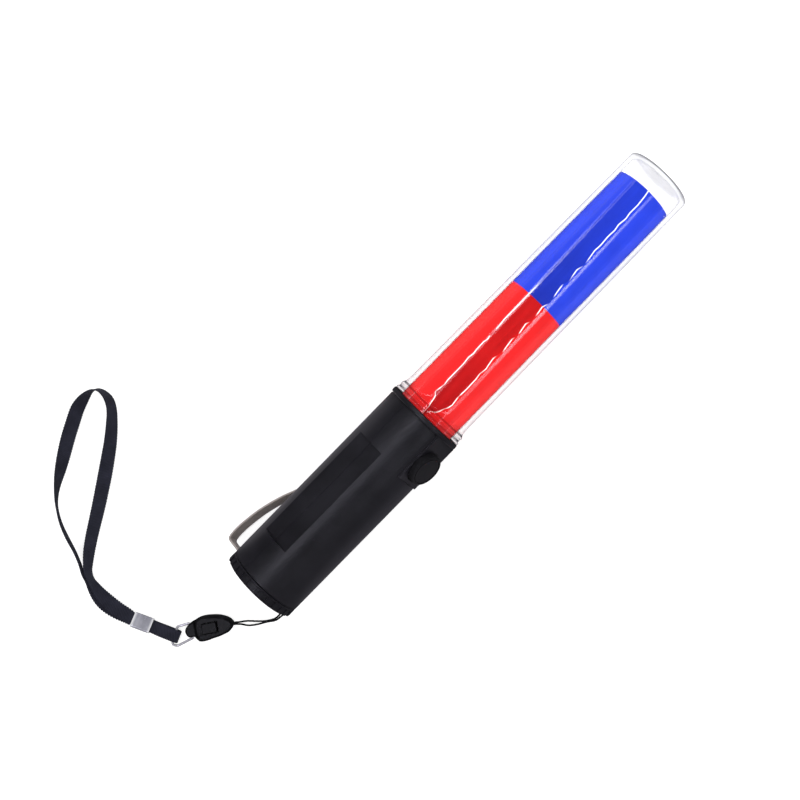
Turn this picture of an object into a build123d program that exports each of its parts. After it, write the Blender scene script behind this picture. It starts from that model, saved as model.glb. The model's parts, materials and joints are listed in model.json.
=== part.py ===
from build123d import *
import math
import os

# Traffic baton light, lying on its side with its long axis along +X.
# Origin: centre of the end cap's flat base. +X runs to the lit tip, +Z is up.
# All sizes are in millimetres.
# Names: x is the distance along the baton; u and v are measured square to it,
# v towards the belt clip. An _X pair holds the start and end of a feature.

# ---- driving dimensions ----------------------------------------------------
LENGTH = 262.0          # cap base to tube tip
HANDLE_R = 19.0         # handle outside radius
RIM_R = 19.65           # bead round the handle's mouth
CAP_L = 5.0             # visible height of the end cap
HANDLE_TOP = 110.6      # top of the handle's rim
BORE_R = 16.6           # battery bore
BORE_START = 16.9       # where the battery bore takes over from the thread bore
SHOULDER_X = (76.5, 80.5)         # inner shoulder, between bore and switch chamber
CHAMBER_END = 102.0
FLAT_U = 15.6           # bore flats behind the side panels
BOSS_V = 13.4           # bore flat behind the belt clip
ROLL = 56.0             # the button faces this many degrees off straight up
PANEL_U = 17.19         # side panels: distance from the axis
PANEL_W = 17.0
PANEL_X = (23.8, 85.2)
PAD_V = 18.0            # button pad: distance from the axis
PAD_HALF = 8.8
PAD_CORNER = 0.5
PAD_X = (82.9, 108.2)
BUTTON_X = 93.2
BUTTON_R = 8.2
BUTTON_TOP = 21.0
PITCH = 3.0             # end-cap thread
EYE_ANGLE = 334.0       # lanyard hole's place round the cap, degrees from u towards v
EYE_R = 15.6            # lanyard hole's bend: distance from the axis
EYE_HOLE_R = 1.1
TUBE_R0, TUBE_R1 = 17.54, 16.70   # tube outside radius above the flange, at the tip
TUBE_BORE_X = (102.0, 257.0)      # the tube bore tapers between these places
BORE_T0, BORE_T1 = 15.50, 14.75   # tube bore radius at each of them
FILM_SPLIT = 181.9      # where the red film ends and the blue one starts
CHASSIS_SCREWS = ((13.8, 0), (-13.8, 0))    # (u, v)
CLIP_SCREWS = ((54.5, 0), (62.5, 0))        # (x, u)
LEAD_U, LEAD_V = 5.0, 5.0         # where the two lead wires pass, at +u and -u
LEAD_SPOTS = ((LEAD_U, LEAD_V), (-LEAD_U, LEAD_V))

# ---- directions and planes -------------------------------------------------
roll = math.radians(ROLL)
AXIS = Vector(1, 0, 0)
CLIP_DIR = Vector(0, math.sin(roll), -math.cos(roll))     # +v, towards the belt clip
BUTTON_DIR = CLIP_DIR * -1
SIDE_DIR = Vector(0, -math.cos(roll), -math.sin(roll))    # +u, towards the lower side panel
SIDE_PLANE = Plane(origin=(0, 0, 0), x_dir=AXIS, z_dir=SIDE_DIR * -1)   # sketch (x, v)


def across(x):
    """Plane square to the baton at x: sketch (u, v)."""
    return Plane(origin=(x, 0, 0), x_dir=SIDE_DIR, z_dir=AXIS)


def facing_button(height):
    """Plane square to the button's direction: sketch x runs along the baton."""
    return Plane(origin=BUTTON_DIR * height, x_dir=AXIS, z_dir=BUTTON_DIR)


def facing_clip(height):
    """Plane square to the clip's direction: sketch x runs along the baton."""
    return Plane(origin=CLIP_DIR * height, x_dir=AXIS, z_dir=CLIP_DIR)


def around(radius, degrees):
    """Point (u, v) at an angle from u towards v."""
    angle = math.radians(degrees)
    return radius * math.cos(angle), radius * math.sin(angle)


def tube_bore(x):
    """Radius of the lens tube's bore at x."""
    start, end = TUBE_BORE_X
    return BORE_T0 + (x - start) * (BORE_T1 - BORE_T0) / (end - start)


# ---- modelling helpers -----------------------------------------------------
# The first three add to the active part, or cut it with Mode.SUBTRACT.
def revolve_profile(points):
    """Closed profile (x, r) turned about the baton's axis."""
    with BuildSketch(Plane.XY) as profile:
        with BuildLine():
            Polyline(*points, close=True)
        make_face()
    revolve(profile.sketch, axis=Axis.X)


def rods(plane, radius, length, spots=((0, 0),), mode=Mode.ADD):
    """Round rods standing on the plane."""
    with BuildSketch(plane) as outline:
        with Locations(*spots):
            Circle(radius)
    extrude(outline.sketch, amount=length, dir=plane.z_dir, mode=mode)


def blocks(plane, x_size, y_size, height, spots=((0, 0),), mode=Mode.ADD):
    """Rectangular blocks standing on the plane."""
    with BuildSketch(plane) as outline:
        with Locations(*spots):
            Rectangle(x_size, y_size)
    extrude(outline.sketch, amount=height, dir=plane.z_dir, mode=mode)


def thread(x_start, turns, base_r, crest_r, base_half, crest_half):
    """Helical thread along the baton's axis, a trapezoid from base_r out to crest_r."""
    with BuildLine() as path:
        Helix(pitch=PITCH, height=PITCH * turns, radius=base_r,
              center=(x_start, 0, 0), direction=(1, 0, 0))
    start = path.line @ 0
    radial = Vector(0, start.Y, start.Z).normalized()
    depth = crest_r - base_r
    with BuildPart() as ridge:
        with BuildSketch(Plane(origin=start, x_dir=radial, z_dir=path.line % 0)):
            with BuildLine():
                Polyline((0, -base_half), (depth, -crest_half), (depth, crest_half),
                         (0, base_half), close=True)
            make_face()
        sweep(path=path.line, is_frenet=True)
    return ridge.part


def coil(x, spot, radius, pitch, turns, wire_r):
    """Compression spring along the baton, its axis at spot (u, v), starting at x."""
    centre = SIDE_DIR * spot[0] + CLIP_DIR * spot[1] + AXIS * x
    with BuildLine() as path:
        Helix(pitch=pitch, height=pitch * turns, radius=radius,
              center=tuple(centre), direction=(1, 0, 0))
    with BuildPart() as spring:
        with BuildSketch(Plane(origin=path.line @ 0, z_dir=path.line % 0)):
            Circle(wire_r)
        sweep(path=path.line, is_frenet=True)
    return spring.part


def seal_ring(x, radius):
    """O-ring round the baton's axis."""
    with BuildPart() as ring:
        with BuildSketch(Plane.XY):
            with Locations((x, radius)):
                Circle(0.5)
        revolve(axis=Axis.X)
    return ring.part


def cross_screws(plane_at, spots, shank, head, cross):
    """Screws; shank and head are (height, radius, length), cross is (height, span, width)."""
    cross_height, span, width = cross
    with BuildPart() as screws:
        for height, radius, length in (shank, head):
            rods(plane_at(height), radius, length, spots)
        with BuildSketch(plane_at(cross_height)):
            with Locations(*spots):
                Rectangle(span, width)
                Rectangle(width, span)
        extrude(amount=1.0, mode=Mode.SUBTRACT)
    return screws.part


os.makedirs("parts", exist_ok=True)


def save(part, name):
    part.label = name
    export_step(part, f"parts/{name}.step")


# ---- handle ----------------------------------------------------------------
GROOVE_X = (107.6, 108.1)     # groove just below the rim
HANDLE_PROFILE = [            # (x, r)
    (CAP_L + 0.15, 0), (CAP_L + 0.15, 18.6), (CAP_L + 0.5, HANDLE_R),
    (GROOVE_X[0], HANDLE_R), (GROOVE_X[0], 18.55), (GROOVE_X[1], 18.55), (GROOVE_X[1], 19.3),
    (108.45, RIM_R), (110.2, RIM_R), (HANDLE_TOP, 19.25), (HANDLE_TOP, 0)]
BEAD_RUNS = (                 # parting line: x start, x end, surface u
    (CAP_L + 0.5, PANEL_X[0], HANDLE_R),
    (*PANEL_X, PANEL_U),
    (PANEL_X[1], GROOVE_X[0], HANDLE_R))
CAP_BORE_X = 4.0              # cuts into the cap end start here, clear of the handle
PAD_L = PAD_X[1] - PAD_X[0]

thread_cut = thread(x_start=4.3, turns=3.5, base_r=16.55, crest_r=17.3,
                    base_half=0.95, crest_half=0.60)

with BuildPart() as handle_shell:
    revolve_profile(HANDLE_PROFILE)
    # thread bore, internal thread and seal recess
    rods(across(CAP_BORE_X), 16.7, BORE_START - CAP_BORE_X, mode=Mode.SUBTRACT)
    add(thread_cut, mode=Mode.SUBTRACT)
    rods(across(CAP_BORE_X), 17.6, 2.4, mode=Mode.SUBTRACT)
    # raised pad under the button, with its corners standing proud of the tube
    with BuildSketch(across(PAD_X[0])):
        with BuildLine():
            Polyline((-PAD_HALF, -10), (-PAD_HALF, -17.4), (-PAD_HALF + PAD_CORNER, -PAD_V),
                     (PAD_HALF - PAD_CORNER, -PAD_V), (PAD_HALF, -17.4), (PAD_HALF, -10),
                     close=True)
        make_face()
    extrude(amount=PAD_L)
    blocks(across(PAD_X[0]), 2 * (PAD_HALF - PAD_CORNER), 3.0, PAD_L,
           [(0, -PAD_V - 1.5)], Mode.SUBTRACT)
    # flat side panels, one each side
    blocks(across(PANEL_X[0]), 3.0, PANEL_W, PANEL_X[1] - PANEL_X[0],
           [(PANEL_U + 1.5, 0), (-PANEL_U - 1.5, 0)], Mode.SUBTRACT)
    # mould parting line, a fine raised bead along both sides
    for start, end, u in BEAD_RUNS:
        blocks(across(start), 0.6, 0.26, end - start, [(u - 0.18, 0), (-u + 0.18, 0)])
    # shallow flat that seats the belt clip's foot
    blocks(across(45.5), 6.8, 2.0, 22.5, [(0, 19.38)], Mode.SUBTRACT)
    # battery bore: round, with flats behind the panels and the belt clip
    with BuildSketch(across(BORE_START)):
        Circle(BORE_R)
        with Locations((0, (BOSS_V - 17.0) / 2)):
            Rectangle(2 * FLAT_U, BOSS_V + 17.0, mode=Mode.INTERSECT)
    extrude(amount=SHOULDER_X[0] - BORE_START, mode=Mode.SUBTRACT)
    # opening through the inner shoulder
    rods(across(76.0), 12.0, 5.0, mode=Mode.SUBTRACT)
    # switch chamber
    with BuildSketch(across(SHOULDER_X[1])):
        Circle(BORE_R)
        Rectangle(2 * FLAT_U, 2 * FLAT_U, mode=Mode.INTERSECT)
    extrude(amount=CHAMBER_END - SHOULDER_X[1], mode=Mode.SUBTRACT)
    # mouth for the lens tube's spigot
    rods(across(101.9), 17.5, 12.0, mode=Mode.SUBTRACT)
    # button hole, and the pocket its flange sits in
    for radius, depth in ((BUTTON_R + 0.25, 12.0), (9.35, 6.2)):
        rods(facing_button(10.0), radius, depth, [(BUTTON_X, 0)], Mode.SUBTRACT)
    # pilot holes for the clip's screws, then for the chassis screws in the shoulder
    rods(facing_clip(12.0), 0.95, 8.0, CLIP_SCREWS, Mode.SUBTRACT)
    rods(across(77.5), 0.85, 3.2, CHASSIS_SCREWS, Mode.SUBTRACT)
save(handle_shell.part, "handle_shell")

# ---- end cap ---------------------------------------------------------------
CAP_PROFILE = [               # (x, r)
    (0, 0), (0, 16.6), (0.25, 17.5), (0.8, 18.25), (1.2, 18.4), (4.0, 18.4), (4.0, 18.75),
    (4.3, 18.95), (CAP_L - 0.25, 18.95), (CAP_L, 18.7), (CAP_L, 16.15), (13.5, 16.15),
    (13.8, 15.8), (13.8, 13.8), (3.2, 13.8), (3.2, 0)]
EYE_X = 2.1                   # axis of the lanyard hole's sideways leg
EYE_U, EYE_V = around(EYE_R, EYE_ANGLE)
EYE_DIR = (SIDE_DIR * EYE_U + CLIP_DIR * EYE_V) * (1 / EYE_R)


def eye_point(x, radius):
    """Point at x, on the lanyard hole's side of the cap."""
    return AXIS * x + EYE_DIR * radius


thread_ridge = thread(x_start=7.3, turns=1.8, base_r=16.1, crest_r=17.0,
                      base_half=0.72, crest_half=0.35)

with BuildPart() as end_cap:
    revolve_profile(CAP_PROFILE)
    # grip pads round the edge
    with BuildSketch(across(0.9)):
        with PolarLocations(18.45, 26):
            Rectangle(1.1, 2.3)
    extrude(amount=3.2)
    # lanyard hole: in through the base, out through the side
    rods(across(-1.0), EYE_HOLE_R, 4.2, [(EYE_U, EYE_V)], Mode.SUBTRACT)
    rods(Plane(origin=eye_point(EYE_X, EYE_R), x_dir=AXIS, z_dir=EYE_DIR),
         EYE_HOLE_R, 6.0, mode=Mode.SUBTRACT)
    add(thread_ridge)
save(end_cap.part, "end_cap")

save(seal_ring(x=5.78, radius=16.75), "cap_seal")

cap_coil = coil(x=3.95, spot=(0, 0), radius=6.0, pitch=2.0, turns=5, wire_r=0.45)

with BuildPart() as cap_spring:
    add(cap_coil)
    # flat end rings: one bears on the battery cartridge, one on the cap's floor
    for ring_x in (14.0, 3.25):
        with BuildSketch(across(ring_x)):
            Circle(6.6)
            Circle(5.3, mode=Mode.SUBTRACT)
        extrude(amount=0.7)
save(cap_spring.part, "cap_spring")

# ---- battery cartridge -----------------------------------------------------
CELL_R, CELL_L = 7.1, 49.0    # AA cells
CELL_PITCH_R = 8.45           # cell axes' distance from the baton's axis
NUB_R, NUB_H = 2.7, 0.95
FRAME_X = (15.0, 72.5)        # start of each end disc
FRAME_DISC_T = 2.5
FORWARD_X, REVERSED_X = 22.2, 18.9    # where the cells' bodies start
# x of the body, nub, spring and contact plate, for a nub facing +X and for one facing -X
FORWARD = (FORWARD_X, FORWARD_X + CELL_L, 18.0, 72.16)
REVERSED = (REVERSED_X, REVERSED_X - NUB_H, 68.35, 17.51)
CELLS = [                     # spot (u, v), places along x
    (around(CELL_PITCH_R, 270), FORWARD),
    (around(CELL_PITCH_R, 30), REVERSED),
    (around(CELL_PITCH_R, 150), FORWARD)]

with BuildPart() as cartridge_frame:
    for x in FRAME_X:
        with BuildSketch(across(x)):
            Circle(16.2)
            with Locations((0, (13.0 - 17.0) / 2)):
                Rectangle(30.6, 30.0, mode=Mode.INTERSECT)
        extrude(amount=FRAME_DISC_T)
    # three pillars between the cells, and a centre rod
    with BuildSketch(across(17.0)):
        with PolarLocations(10.6, 3, start_angle=90):
            Circle(2.2)
        Circle(1.0)
    extrude(amount=56.0)
save(cartridge_frame.part, "cartridge_frame")

for number, (spot, (body_x, nub_x, _, _)) in enumerate(CELLS, start=1):
    with BuildPart() as cell:
        rods(across(body_x), CELL_R, CELL_L, [spot])
        fillet(cell.edges().filter_by(GeomType.CIRCLE), radius=0.5)
        rods(across(nub_x), NUB_R, NUB_H, [spot])
    save(cell.part, f"battery_cell_{number}")

cell_coils = [
    coil(spring_x, spot, radius=3.4, pitch=1.2, turns=3, wire_r=0.35)
    for spot, (_, _, spring_x, _) in CELLS]

with BuildPart() as cartridge_springs:
    for spring in cell_coils:
        add(spring)
save(cartridge_springs.part, "cartridge_springs")

with BuildPart() as cartridge_plates:
    for spot, (_, _, _, plate_x) in CELLS:
        with BuildSketch(across(plate_x)):
            with Locations(spot):
                RectangleRounded(7.0, 7.0, 1.0)
        extrude(amount=0.33)
    # outer contact ring and centre contact on the cartridge's +X face
    with BuildSketch(across(75.01)):
        Circle(9.0)
        Circle(7.4, mode=Mode.SUBTRACT)
        Circle(2.6)
    extrude(amount=0.3)
save(cartridge_plates.part, "cartridge_plates")

# ---- contact board and terminals -------------------------------------------
TERMINAL_X, TERMINAL_T = 78.5, 0.33

with BuildPart() as contact_board:
    with BuildSketch(across(78.85)):
        Circle(11.6)
        with Locations(*LEAD_SPOTS):
            Circle(0.75, mode=Mode.SUBTRACT)
    extrude(amount=1.6)
save(contact_board.part, "contact_board")

plus_coil = coil(x=75.75, spot=(0, 0), radius=1.8, pitch=0.9, turns=3, wire_r=0.3)

with BuildPart() as plus_terminal:
    add(plus_coil)
    rods(across(TERMINAL_X), 2.4, TERMINAL_T)
save(plus_terminal.part, "plus_terminal")

with BuildPart() as minus_terminal:
    with BuildSketch(across(TERMINAL_X)):
        Circle(9.2)
        Circle(7.2, mode=Mode.SUBTRACT)
    extrude(amount=TERMINAL_T)
    # three fingers that press on the cartridge's contact ring
    with BuildSketch(across(75.35)):
        with PolarLocations(8.2, 3, start_angle=90):
            Rectangle(0.4, 2.6)
    extrude(amount=3.3)
save(minus_terminal.part, "minus_terminal")

# ---- inner chassis ---------------------------------------------------------
LAMP_SLOT = (12.6, 1.6)       # slot for the lamp board: u, v

with BuildPart() as inner_chassis:
    # lower disc, fixed to the shoulder
    with BuildSketch(across(80.6)):
        Circle(16.3)
        Rectangle(30.8, 30.8, mode=Mode.INTERSECT)
        with Locations(*CHASSIS_SCREWS):
            Circle(1.15, mode=Mode.SUBTRACT)
        with Locations(*LEAD_SPOTS):
            Circle(1.2, mode=Mode.SUBTRACT)
    extrude(amount=2.0)
    # shelf that carries the switch board
    with BuildSketch(across(82.0)):
        with Locations((0, -6.6)):
            Rectangle(17.0, 2.2)
        with Locations((7.6, 0), (-7.6, 0)):
            Rectangle(1.8, 13.0)
    extrude(amount=23.0)
    # upper disc, inside the tube's spigot, slotted for the lamp board
    with BuildSketch(across(103.5)):
        Circle(15.0)
        Rectangle(*LAMP_SLOT, mode=Mode.SUBTRACT)
    extrude(amount=2.5)
    # sleeve round the lamp board's end
    with BuildSketch(across(95.0)):
        Rectangle(14.0, 4.4)
        Rectangle(*LAMP_SLOT, mode=Mode.SUBTRACT)
    extrude(amount=9.0)
save(inner_chassis.part, "inner_chassis")

save(cross_screws(across, CHASSIS_SCREWS, shank=(78.0, 0.8, 5.0), head=(82.65, 1.5, 1.1),
                  cross=(83.2, 2.0, 0.4)), "chassis_screws")

# ---- switch and button -----------------------------------------------------
COMPONENT_BASE = 8.97         # just above the switch board: distance from the axis
COMPONENTS = (                # x, u, size along x, size across, height
    (85.6, 0, 3.9, 4.9, 1.5),         # driver chip
    (99.5, 3.6, 3.2, 1.6, 0.6),       # resistors
    (99.5, 0.8, 3.2, 1.6, 0.6),
    (99.8, -3.4, 3.4, 2.8, 1.9))      # capacitor
FLANGE_BASE = 14.7            # button flange: distance from the axis
STEM_BASE = 15.9              # where the button's full height starts
BUTTON_SPOT = [(BUTTON_X, 0)]
BUTTON_AXIS = Axis(origin=(0, 0, 0), direction=BUTTON_DIR)

with BuildPart() as switch_board:
    with BuildSketch(facing_button(7.75)):
        with Locations(*BUTTON_SPOT):
            RectangleRounded(20.0, 13.0, 0.8)
    extrude(amount=1.2)
save(switch_board.part, "switch_board")

with BuildPart() as tact_switch:
    with BuildSketch(facing_button(COMPONENT_BASE)):
        with Locations(*BUTTON_SPOT):
            RectangleRounded(6.2, 6.2, 0.5)
    extrude(amount=3.6)
    chamfer(tact_switch.faces().sort_by(BUTTON_AXIS)[-1].edges(), length=0.3)
    rods(facing_button(10.0), 1.75, 4.0, BUTTON_SPOT, Mode.SUBTRACT)
save(tact_switch.part, "tact_switch")

with BuildPart() as switch_plunger:
    rods(facing_button(11.6), 1.68, 3.0, BUTTON_SPOT)
    fillet(switch_plunger.faces().sort_by(BUTTON_AXIS)[-1].edges(), radius=0.3)
save(switch_plunger.part, "switch_plunger")

with BuildPart() as board_components:
    for x, y, x_size, y_size, height in COMPONENTS:
        blocks(facing_button(COMPONENT_BASE), x_size, y_size, height, [(x, y)])
save(board_components.part, "board_components")

with BuildPart() as button:
    rods(facing_button(FLANGE_BASE), 9.1, 1.3, BUTTON_SPOT)
    rods(facing_button(STEM_BASE), BUTTON_R, BUTTON_TOP - STEM_BASE, BUTTON_SPOT)
    fillet(button.faces().sort_by(BUTTON_AXIS)[-1].edges(), radius=1.0)
    # ring groove in the top
    with BuildSketch(facing_button(BUTTON_TOP - 0.35)):
        with Locations(*BUTTON_SPOT):
            Circle(6.9)
            Circle(6.45, mode=Mode.SUBTRACT)
    extrude(amount=1.0, mode=Mode.SUBTRACT)
    # hollow underside, with a centre stem over the switch
    with BuildSketch(facing_button(14.0)):
        with Locations(*BUTTON_SPOT):
            Circle(6.6)
            Circle(2.2, mode=Mode.SUBTRACT)
    extrude(amount=5.2, mode=Mode.SUBTRACT)
save(button.part, "button")

# ---- lamp board ------------------------------------------------------------
LED_COUNT, LED_PITCH = 6, 10.5

with BuildPart() as led_board:
    blocks(across(96.0), 12.2, 1.2, 150.0)
save(led_board.part, "led_board")

for name, first_x in (("red_leds", 117.0), ("blue_leds", 188.0)):
    led_spots = [(first_x + LED_PITCH * i, 0) for i in range(LED_COUNT)]
    with BuildPart() as leds:
        # a square body and a round lens each, on both faces of the board
        for facing in (facing_clip, facing_button):
            blocks(facing(0.62), 5.0, 5.0, 1.0, led_spots)
            rods(facing(1.5), 1.9, 0.5, led_spots)
    save(leds.part, name)

with BuildPart() as tip_spacer:
    with BuildSketch(across(243.0)):
        Circle(13.6)
        Rectangle(12.7, 1.7, mode=Mode.SUBTRACT)
        with PolarLocations(9.4, 4, start_angle=45):
            Circle(3.0, mode=Mode.SUBTRACT)
    extrude(amount=2.0)
save(tip_spacer.part, "tip_spacer")

# ---- lens tube and films ---------------------------------------------------
SPIGOT_X = 103.2              # end of the spigot, inside the handle
FLANGE_PROFILE = [            # (x, r): spigot with its seal groove, then the flange
    (SPIGOT_X, tube_bore(SPIGOT_X)), (SPIGOT_X, 17.1), (103.5, 17.4),
    (105.0, 17.4), (105.0, 16.4), (107.0, 16.4), (107.0, 17.4),
    (110.7, 17.4), (110.7, 19.1), (110.95, 19.35), (111.6, 19.35), (111.95, 19.1),
    (112.05, 18.7), (113.5, 18.68), (113.75, 18.95), (114.45, 18.95), (114.75, 18.7),
    (114.9, 18.55)]
NECK_PROFILE = [              # (x, r): from the flange down to the tapered tube
    (114.9, 18.55), (115.3, 18.27), (115.8, 18.03), (116.5, 17.83), (117.4, 17.69),
    (118.6, 17.61), (121.5, TUBE_R0)]
TIP_INSIDE_X = 260.2
FILMS = (                     # name, x start, x end
    ("red_film", 107.0, FILM_SPLIT),
    ("blue_film", FILM_SPLIT + 0.05, 250.7))

save(seal_ring(x=106.0, radius=16.93), "tube_seal")

with BuildPart() as lens_tube:
    with BuildSketch(Plane.XY):
        with BuildLine():
            # outside, up to the tip
            Polyline(*FLANGE_PROFILE)
            Polyline(*NECK_PROFILE)
            Line((121.5, TUBE_R0), (259.3, TUBE_R1))
            ThreePointArc((259.3, TUBE_R1), (260.88, 16.05), (261.55, 14.5))
            Polyline((261.55, 14.5), (261.83, 11.0), (LENGTH, 6.0), (LENGTH, 0))
            Line((LENGTH, 0), (TIP_INSIDE_X, 0))
            # inside, back to the spigot
            Polyline((TIP_INSIDE_X, 0), (TIP_INSIDE_X, 6.0), (260.08, 10.0), (259.8, 12.8))
            ThreePointArc((259.8, 12.8), (259.15, 14.15), (257.6, BORE_T1))
            Line((257.6, BORE_T1), (SPIGOT_X, tube_bore(SPIGOT_X)))
        make_face()
    revolve(axis=Axis.X)
save(lens_tube.part, "lens_tube")

for name, start, end in FILMS:
    with BuildPart() as film:
        revolve_profile([(start, tube_bore(start) - 0.45), (start, tube_bore(start) - 0.12),
                         (end, tube_bore(end) - 0.12), (end, tube_bore(end) - 0.45)])
    save(film.part, name)

# ---- wiring ----------------------------------------------------------------
for name, u in (("lead_wire_red", LEAD_U), ("lead_wire_black", -LEAD_U)):
    with BuildPart() as wire:
        with BuildLine(SIDE_PLANE) as run:
            Spline((80.0, LEAD_V), (83.5, 4.2), (90.0, 4.6), (97.0, 4.0),
                   tangents=[(1, 0), (1, -0.1)])
        with BuildSketch(Plane(origin=(run.line @ 0) + SIDE_DIR * u, z_dir=AXIS)):
            Circle(0.6)
        sweep(path=run.line.moved(Location(SIDE_DIR * u)))
    save(wire.part, name)

# ---- belt clip -------------------------------------------------------------
CLIP_W, CLIP_T = 6.0, 1.0
CLIP_SPINE = [                # (x, v) of the strip's middle, from the foot to the free end
    (50.0, 18.9), (46.5, 19.65), (42.7, 21.15), (36.6, 23.95), (30.1, 26.3),
    (24.1, 28.0), (18.4, 29.1), (12.0, 29.9), (8.0, 29.9), (5.2, 29.4)]
FOOT_V = CLIP_SPINE[0][1]
FOOT_END = 67.0
HOOK_X, HOOK_V = 4.6, 20.4    # inward-turned end: its inner face, and its tip


def strip_sides(points, half):
    """Offsets (x, v) points to the left and to the right of their run."""
    left, right = [], []
    for i, (x, v) in enumerate(points):
        before_x, before_v = points[max(i - 1, 0)]
        after_x, after_v = points[min(i + 1, len(points) - 1)]
        run = math.hypot(after_x - before_x, after_v - before_v)
        normal_x, normal_v = -(after_v - before_v) / run, (after_x - before_x) / run
        left.append((x + normal_x * half, v + normal_v * half))
        right.append((x - normal_x * half, v - normal_v * half))
    return left, right


with BuildPart() as belt_clip:
    inner, outer = strip_sides(CLIP_SPINE, CLIP_T / 2)
    with BuildSketch(SIDE_PLANE):
        with BuildLine():
            Spline(*outer, tangents=[(-1, 0.02), (-1, -0.1)])
            Spline(*inner, tangents=[(-1, 0.02), (-1, -0.1)])
            # inward-turned end
            Polyline(inner[-1], (HOOK_X, 28.5), (HOOK_X, HOOK_V), (HOOK_X - CLIP_T, HOOK_V),
                     (HOOK_X - CLIP_T, 29.2), outer[-1])
            # foot
            Polyline(outer[0], (FOOT_END, FOOT_V + CLIP_T / 2),
                     (FOOT_END, FOOT_V - CLIP_T / 2), inner[0])
        make_face()
    extrude(amount=CLIP_W / 2, both=True)
    rods(facing_clip(15.0), 1.15, 6.0, CLIP_SCREWS, Mode.SUBTRACT)
save(belt_clip.part, "belt_clip")

save(cross_screws(facing_clip, CLIP_SCREWS, shank=(14.2, 0.9, 5.6), head=(19.45, 1.9, 1.2),
                  cross=(20.1, 2.4, 0.5)), "clip_screws")

# ---- lanyard: quick-release ------------------------------------------------
# sketch x runs from the swivel ring towards the cord
RELEASE = Plane(origin=(-42.4, 9.4, -16.3), x_dir=(0.828, -0.5605, 0), z_dir=(0, 0, 1))
RELEASE_TOP = 3.0             # half height of the plug
TAB_X = 11.6                  # centre of the press tab
PLUG_OUTLINE = [
    (5.3, 4.7), (8.0, 5.6), (10.4, 5.8), (12.8, 5.6), (17.5, 4.6), (20.4, 3.2),
    (22.4, 1.4), (23.0, -0.3), (22.1, -2.1), (20.8, -3.3), (18.0, -4.3), (15.4, -4.9),
    (12.9, -5.2), (10.5, -5.6), (8.5, -5.8), (5.3, -5.2)]
HEAD_OUTLINE = [
    (5.1, 4.5), (3.3, 4.0), (1.5, 2.9), (0.3, 1.5), (0.0, 0.0), (0.4, -1.5),
    (1.4, -2.6), (2.9, -2.7), (3.9, -2.8), (4.5, -3.7), (5.1, -4.6)]

with BuildPart() as connector_plug:
    # lozenge body with chamfered rims
    with BuildSketch(RELEASE.offset(-RELEASE_TOP)):
        with BuildLine():
            Spline(*PLUG_OUTLINE)
            Line(PLUG_OUTLINE[-1], PLUG_OUTLINE[0])
        make_face()
    extrude(amount=2 * RELEASE_TOP)
    chamfer(connector_plug.faces().sort_by(Axis.Z)[-1].edges(), length=1.1)
    chamfer(connector_plug.faces().sort_by(Axis.Z)[0].edges(), length=0.9)
    # socket for the tongue, open towards the ring
    blocks(RELEASE.offset(-1.4), 12.0, 6.6, 2.8, [(11.0, 0)], Mode.SUBTRACT)
    # window over the press tab, open at the split
    blocks(RELEASE.offset(1.0), 11.2, 5.6, 3.0, [(10.6, 0)], Mode.SUBTRACT)
    # cord hole in the nose
    rods(Plane(origin=RELEASE.from_local_coords((25.0, -0.3, -0.2)), z_dir=RELEASE.x_dir * -1),
         1.0, 4.5, mode=Mode.SUBTRACT)
save(connector_plug.part, "connector_plug")

with BuildPart() as connector_socket:
    # head
    with BuildSketch(RELEASE.offset(-2.7)):
        with BuildLine():
            Spline(*HEAD_OUTLINE)
            Line(HEAD_OUTLINE[-1], HEAD_OUTLINE[0])
        make_face()
    extrude(amount=5.4)
    chamfer(connector_socket.faces().sort_by(Axis.Z)[-1].edges(), length=0.7)
    # tongue, and the pocket in it for the press tab
    blocks(RELEASE.offset(-1.25), 11.4, 6.3, 2.2, [(10.6, 0)])
    blocks(RELEASE.offset(-0.75), 7.4, 5.2, 4.0, [(TAB_X, 0)], Mode.SUBTRACT)
    # the ring's slot, through the head from side to side
    with BuildSketch(Plane(origin=RELEASE.from_local_coords((2.6, -8.0, -1.2)),
                           x_dir=RELEASE.x_dir, z_dir=RELEASE.y_dir)):
        RectangleRounded(2.6, 2.9, 0.6)
    extrude(amount=16.0, mode=Mode.SUBTRACT)
save(connector_socket.part, "connector_socket")

with BuildPart() as release_tab:
    with BuildSketch(RELEASE.offset(0.25)):
        with Locations((TAB_X, 0)):
            RectangleRounded(7.1, 4.9, 0.5)
    extrude(amount=RELEASE_TOP - 0.1)
    chamfer(release_tab.faces().sort_by(Axis.Z)[-1].edges(), length=0.35)
    # three shallow grip grooves
    blocks(RELEASE.offset(RELEASE_TOP - 0.05), 0.4, 3.6, 1.0,
           [(TAB_X - 1.6, 0), (TAB_X, 0), (TAB_X + 1.6, 0)], Mode.SUBTRACT)
save(release_tab.part, "release_tab")

# ---- lanyard: swivel ring --------------------------------------------------
# The ring lies flat: one side passes through the strap's fold, the opposite
# side through the head of the quick-release.
BAR = Vector(-47.9, 12.4, -17.5)          # where the ring passes through the fold
BAR_W = Vector(-0.92, -0.39, 0)           # across the strap, along the ring's side
BAR_D = Vector(0.39, -0.92, 0)            # away from the ferrule
WIRE_R = 0.6

with BuildPart() as swivel_ring:
    with BuildLine(Plane(origin=BAR, x_dir=BAR_W * -1, z_dir=(0, 0, 1))) as oval:
        FilletPolyline((-4.6, -0.7), (4.5, -0.1), (8.3, -5.15), (2.3, -9.05), (-4.0, -3.5),
                       radius=1.1, close=True)
    with BuildSketch(Plane(origin=oval.line @ 0, z_dir=oval.line % 0)):
        Circle(WIRE_R)
    sweep(path=oval.line)
save(swivel_ring.part, "swivel_ring")

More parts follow.
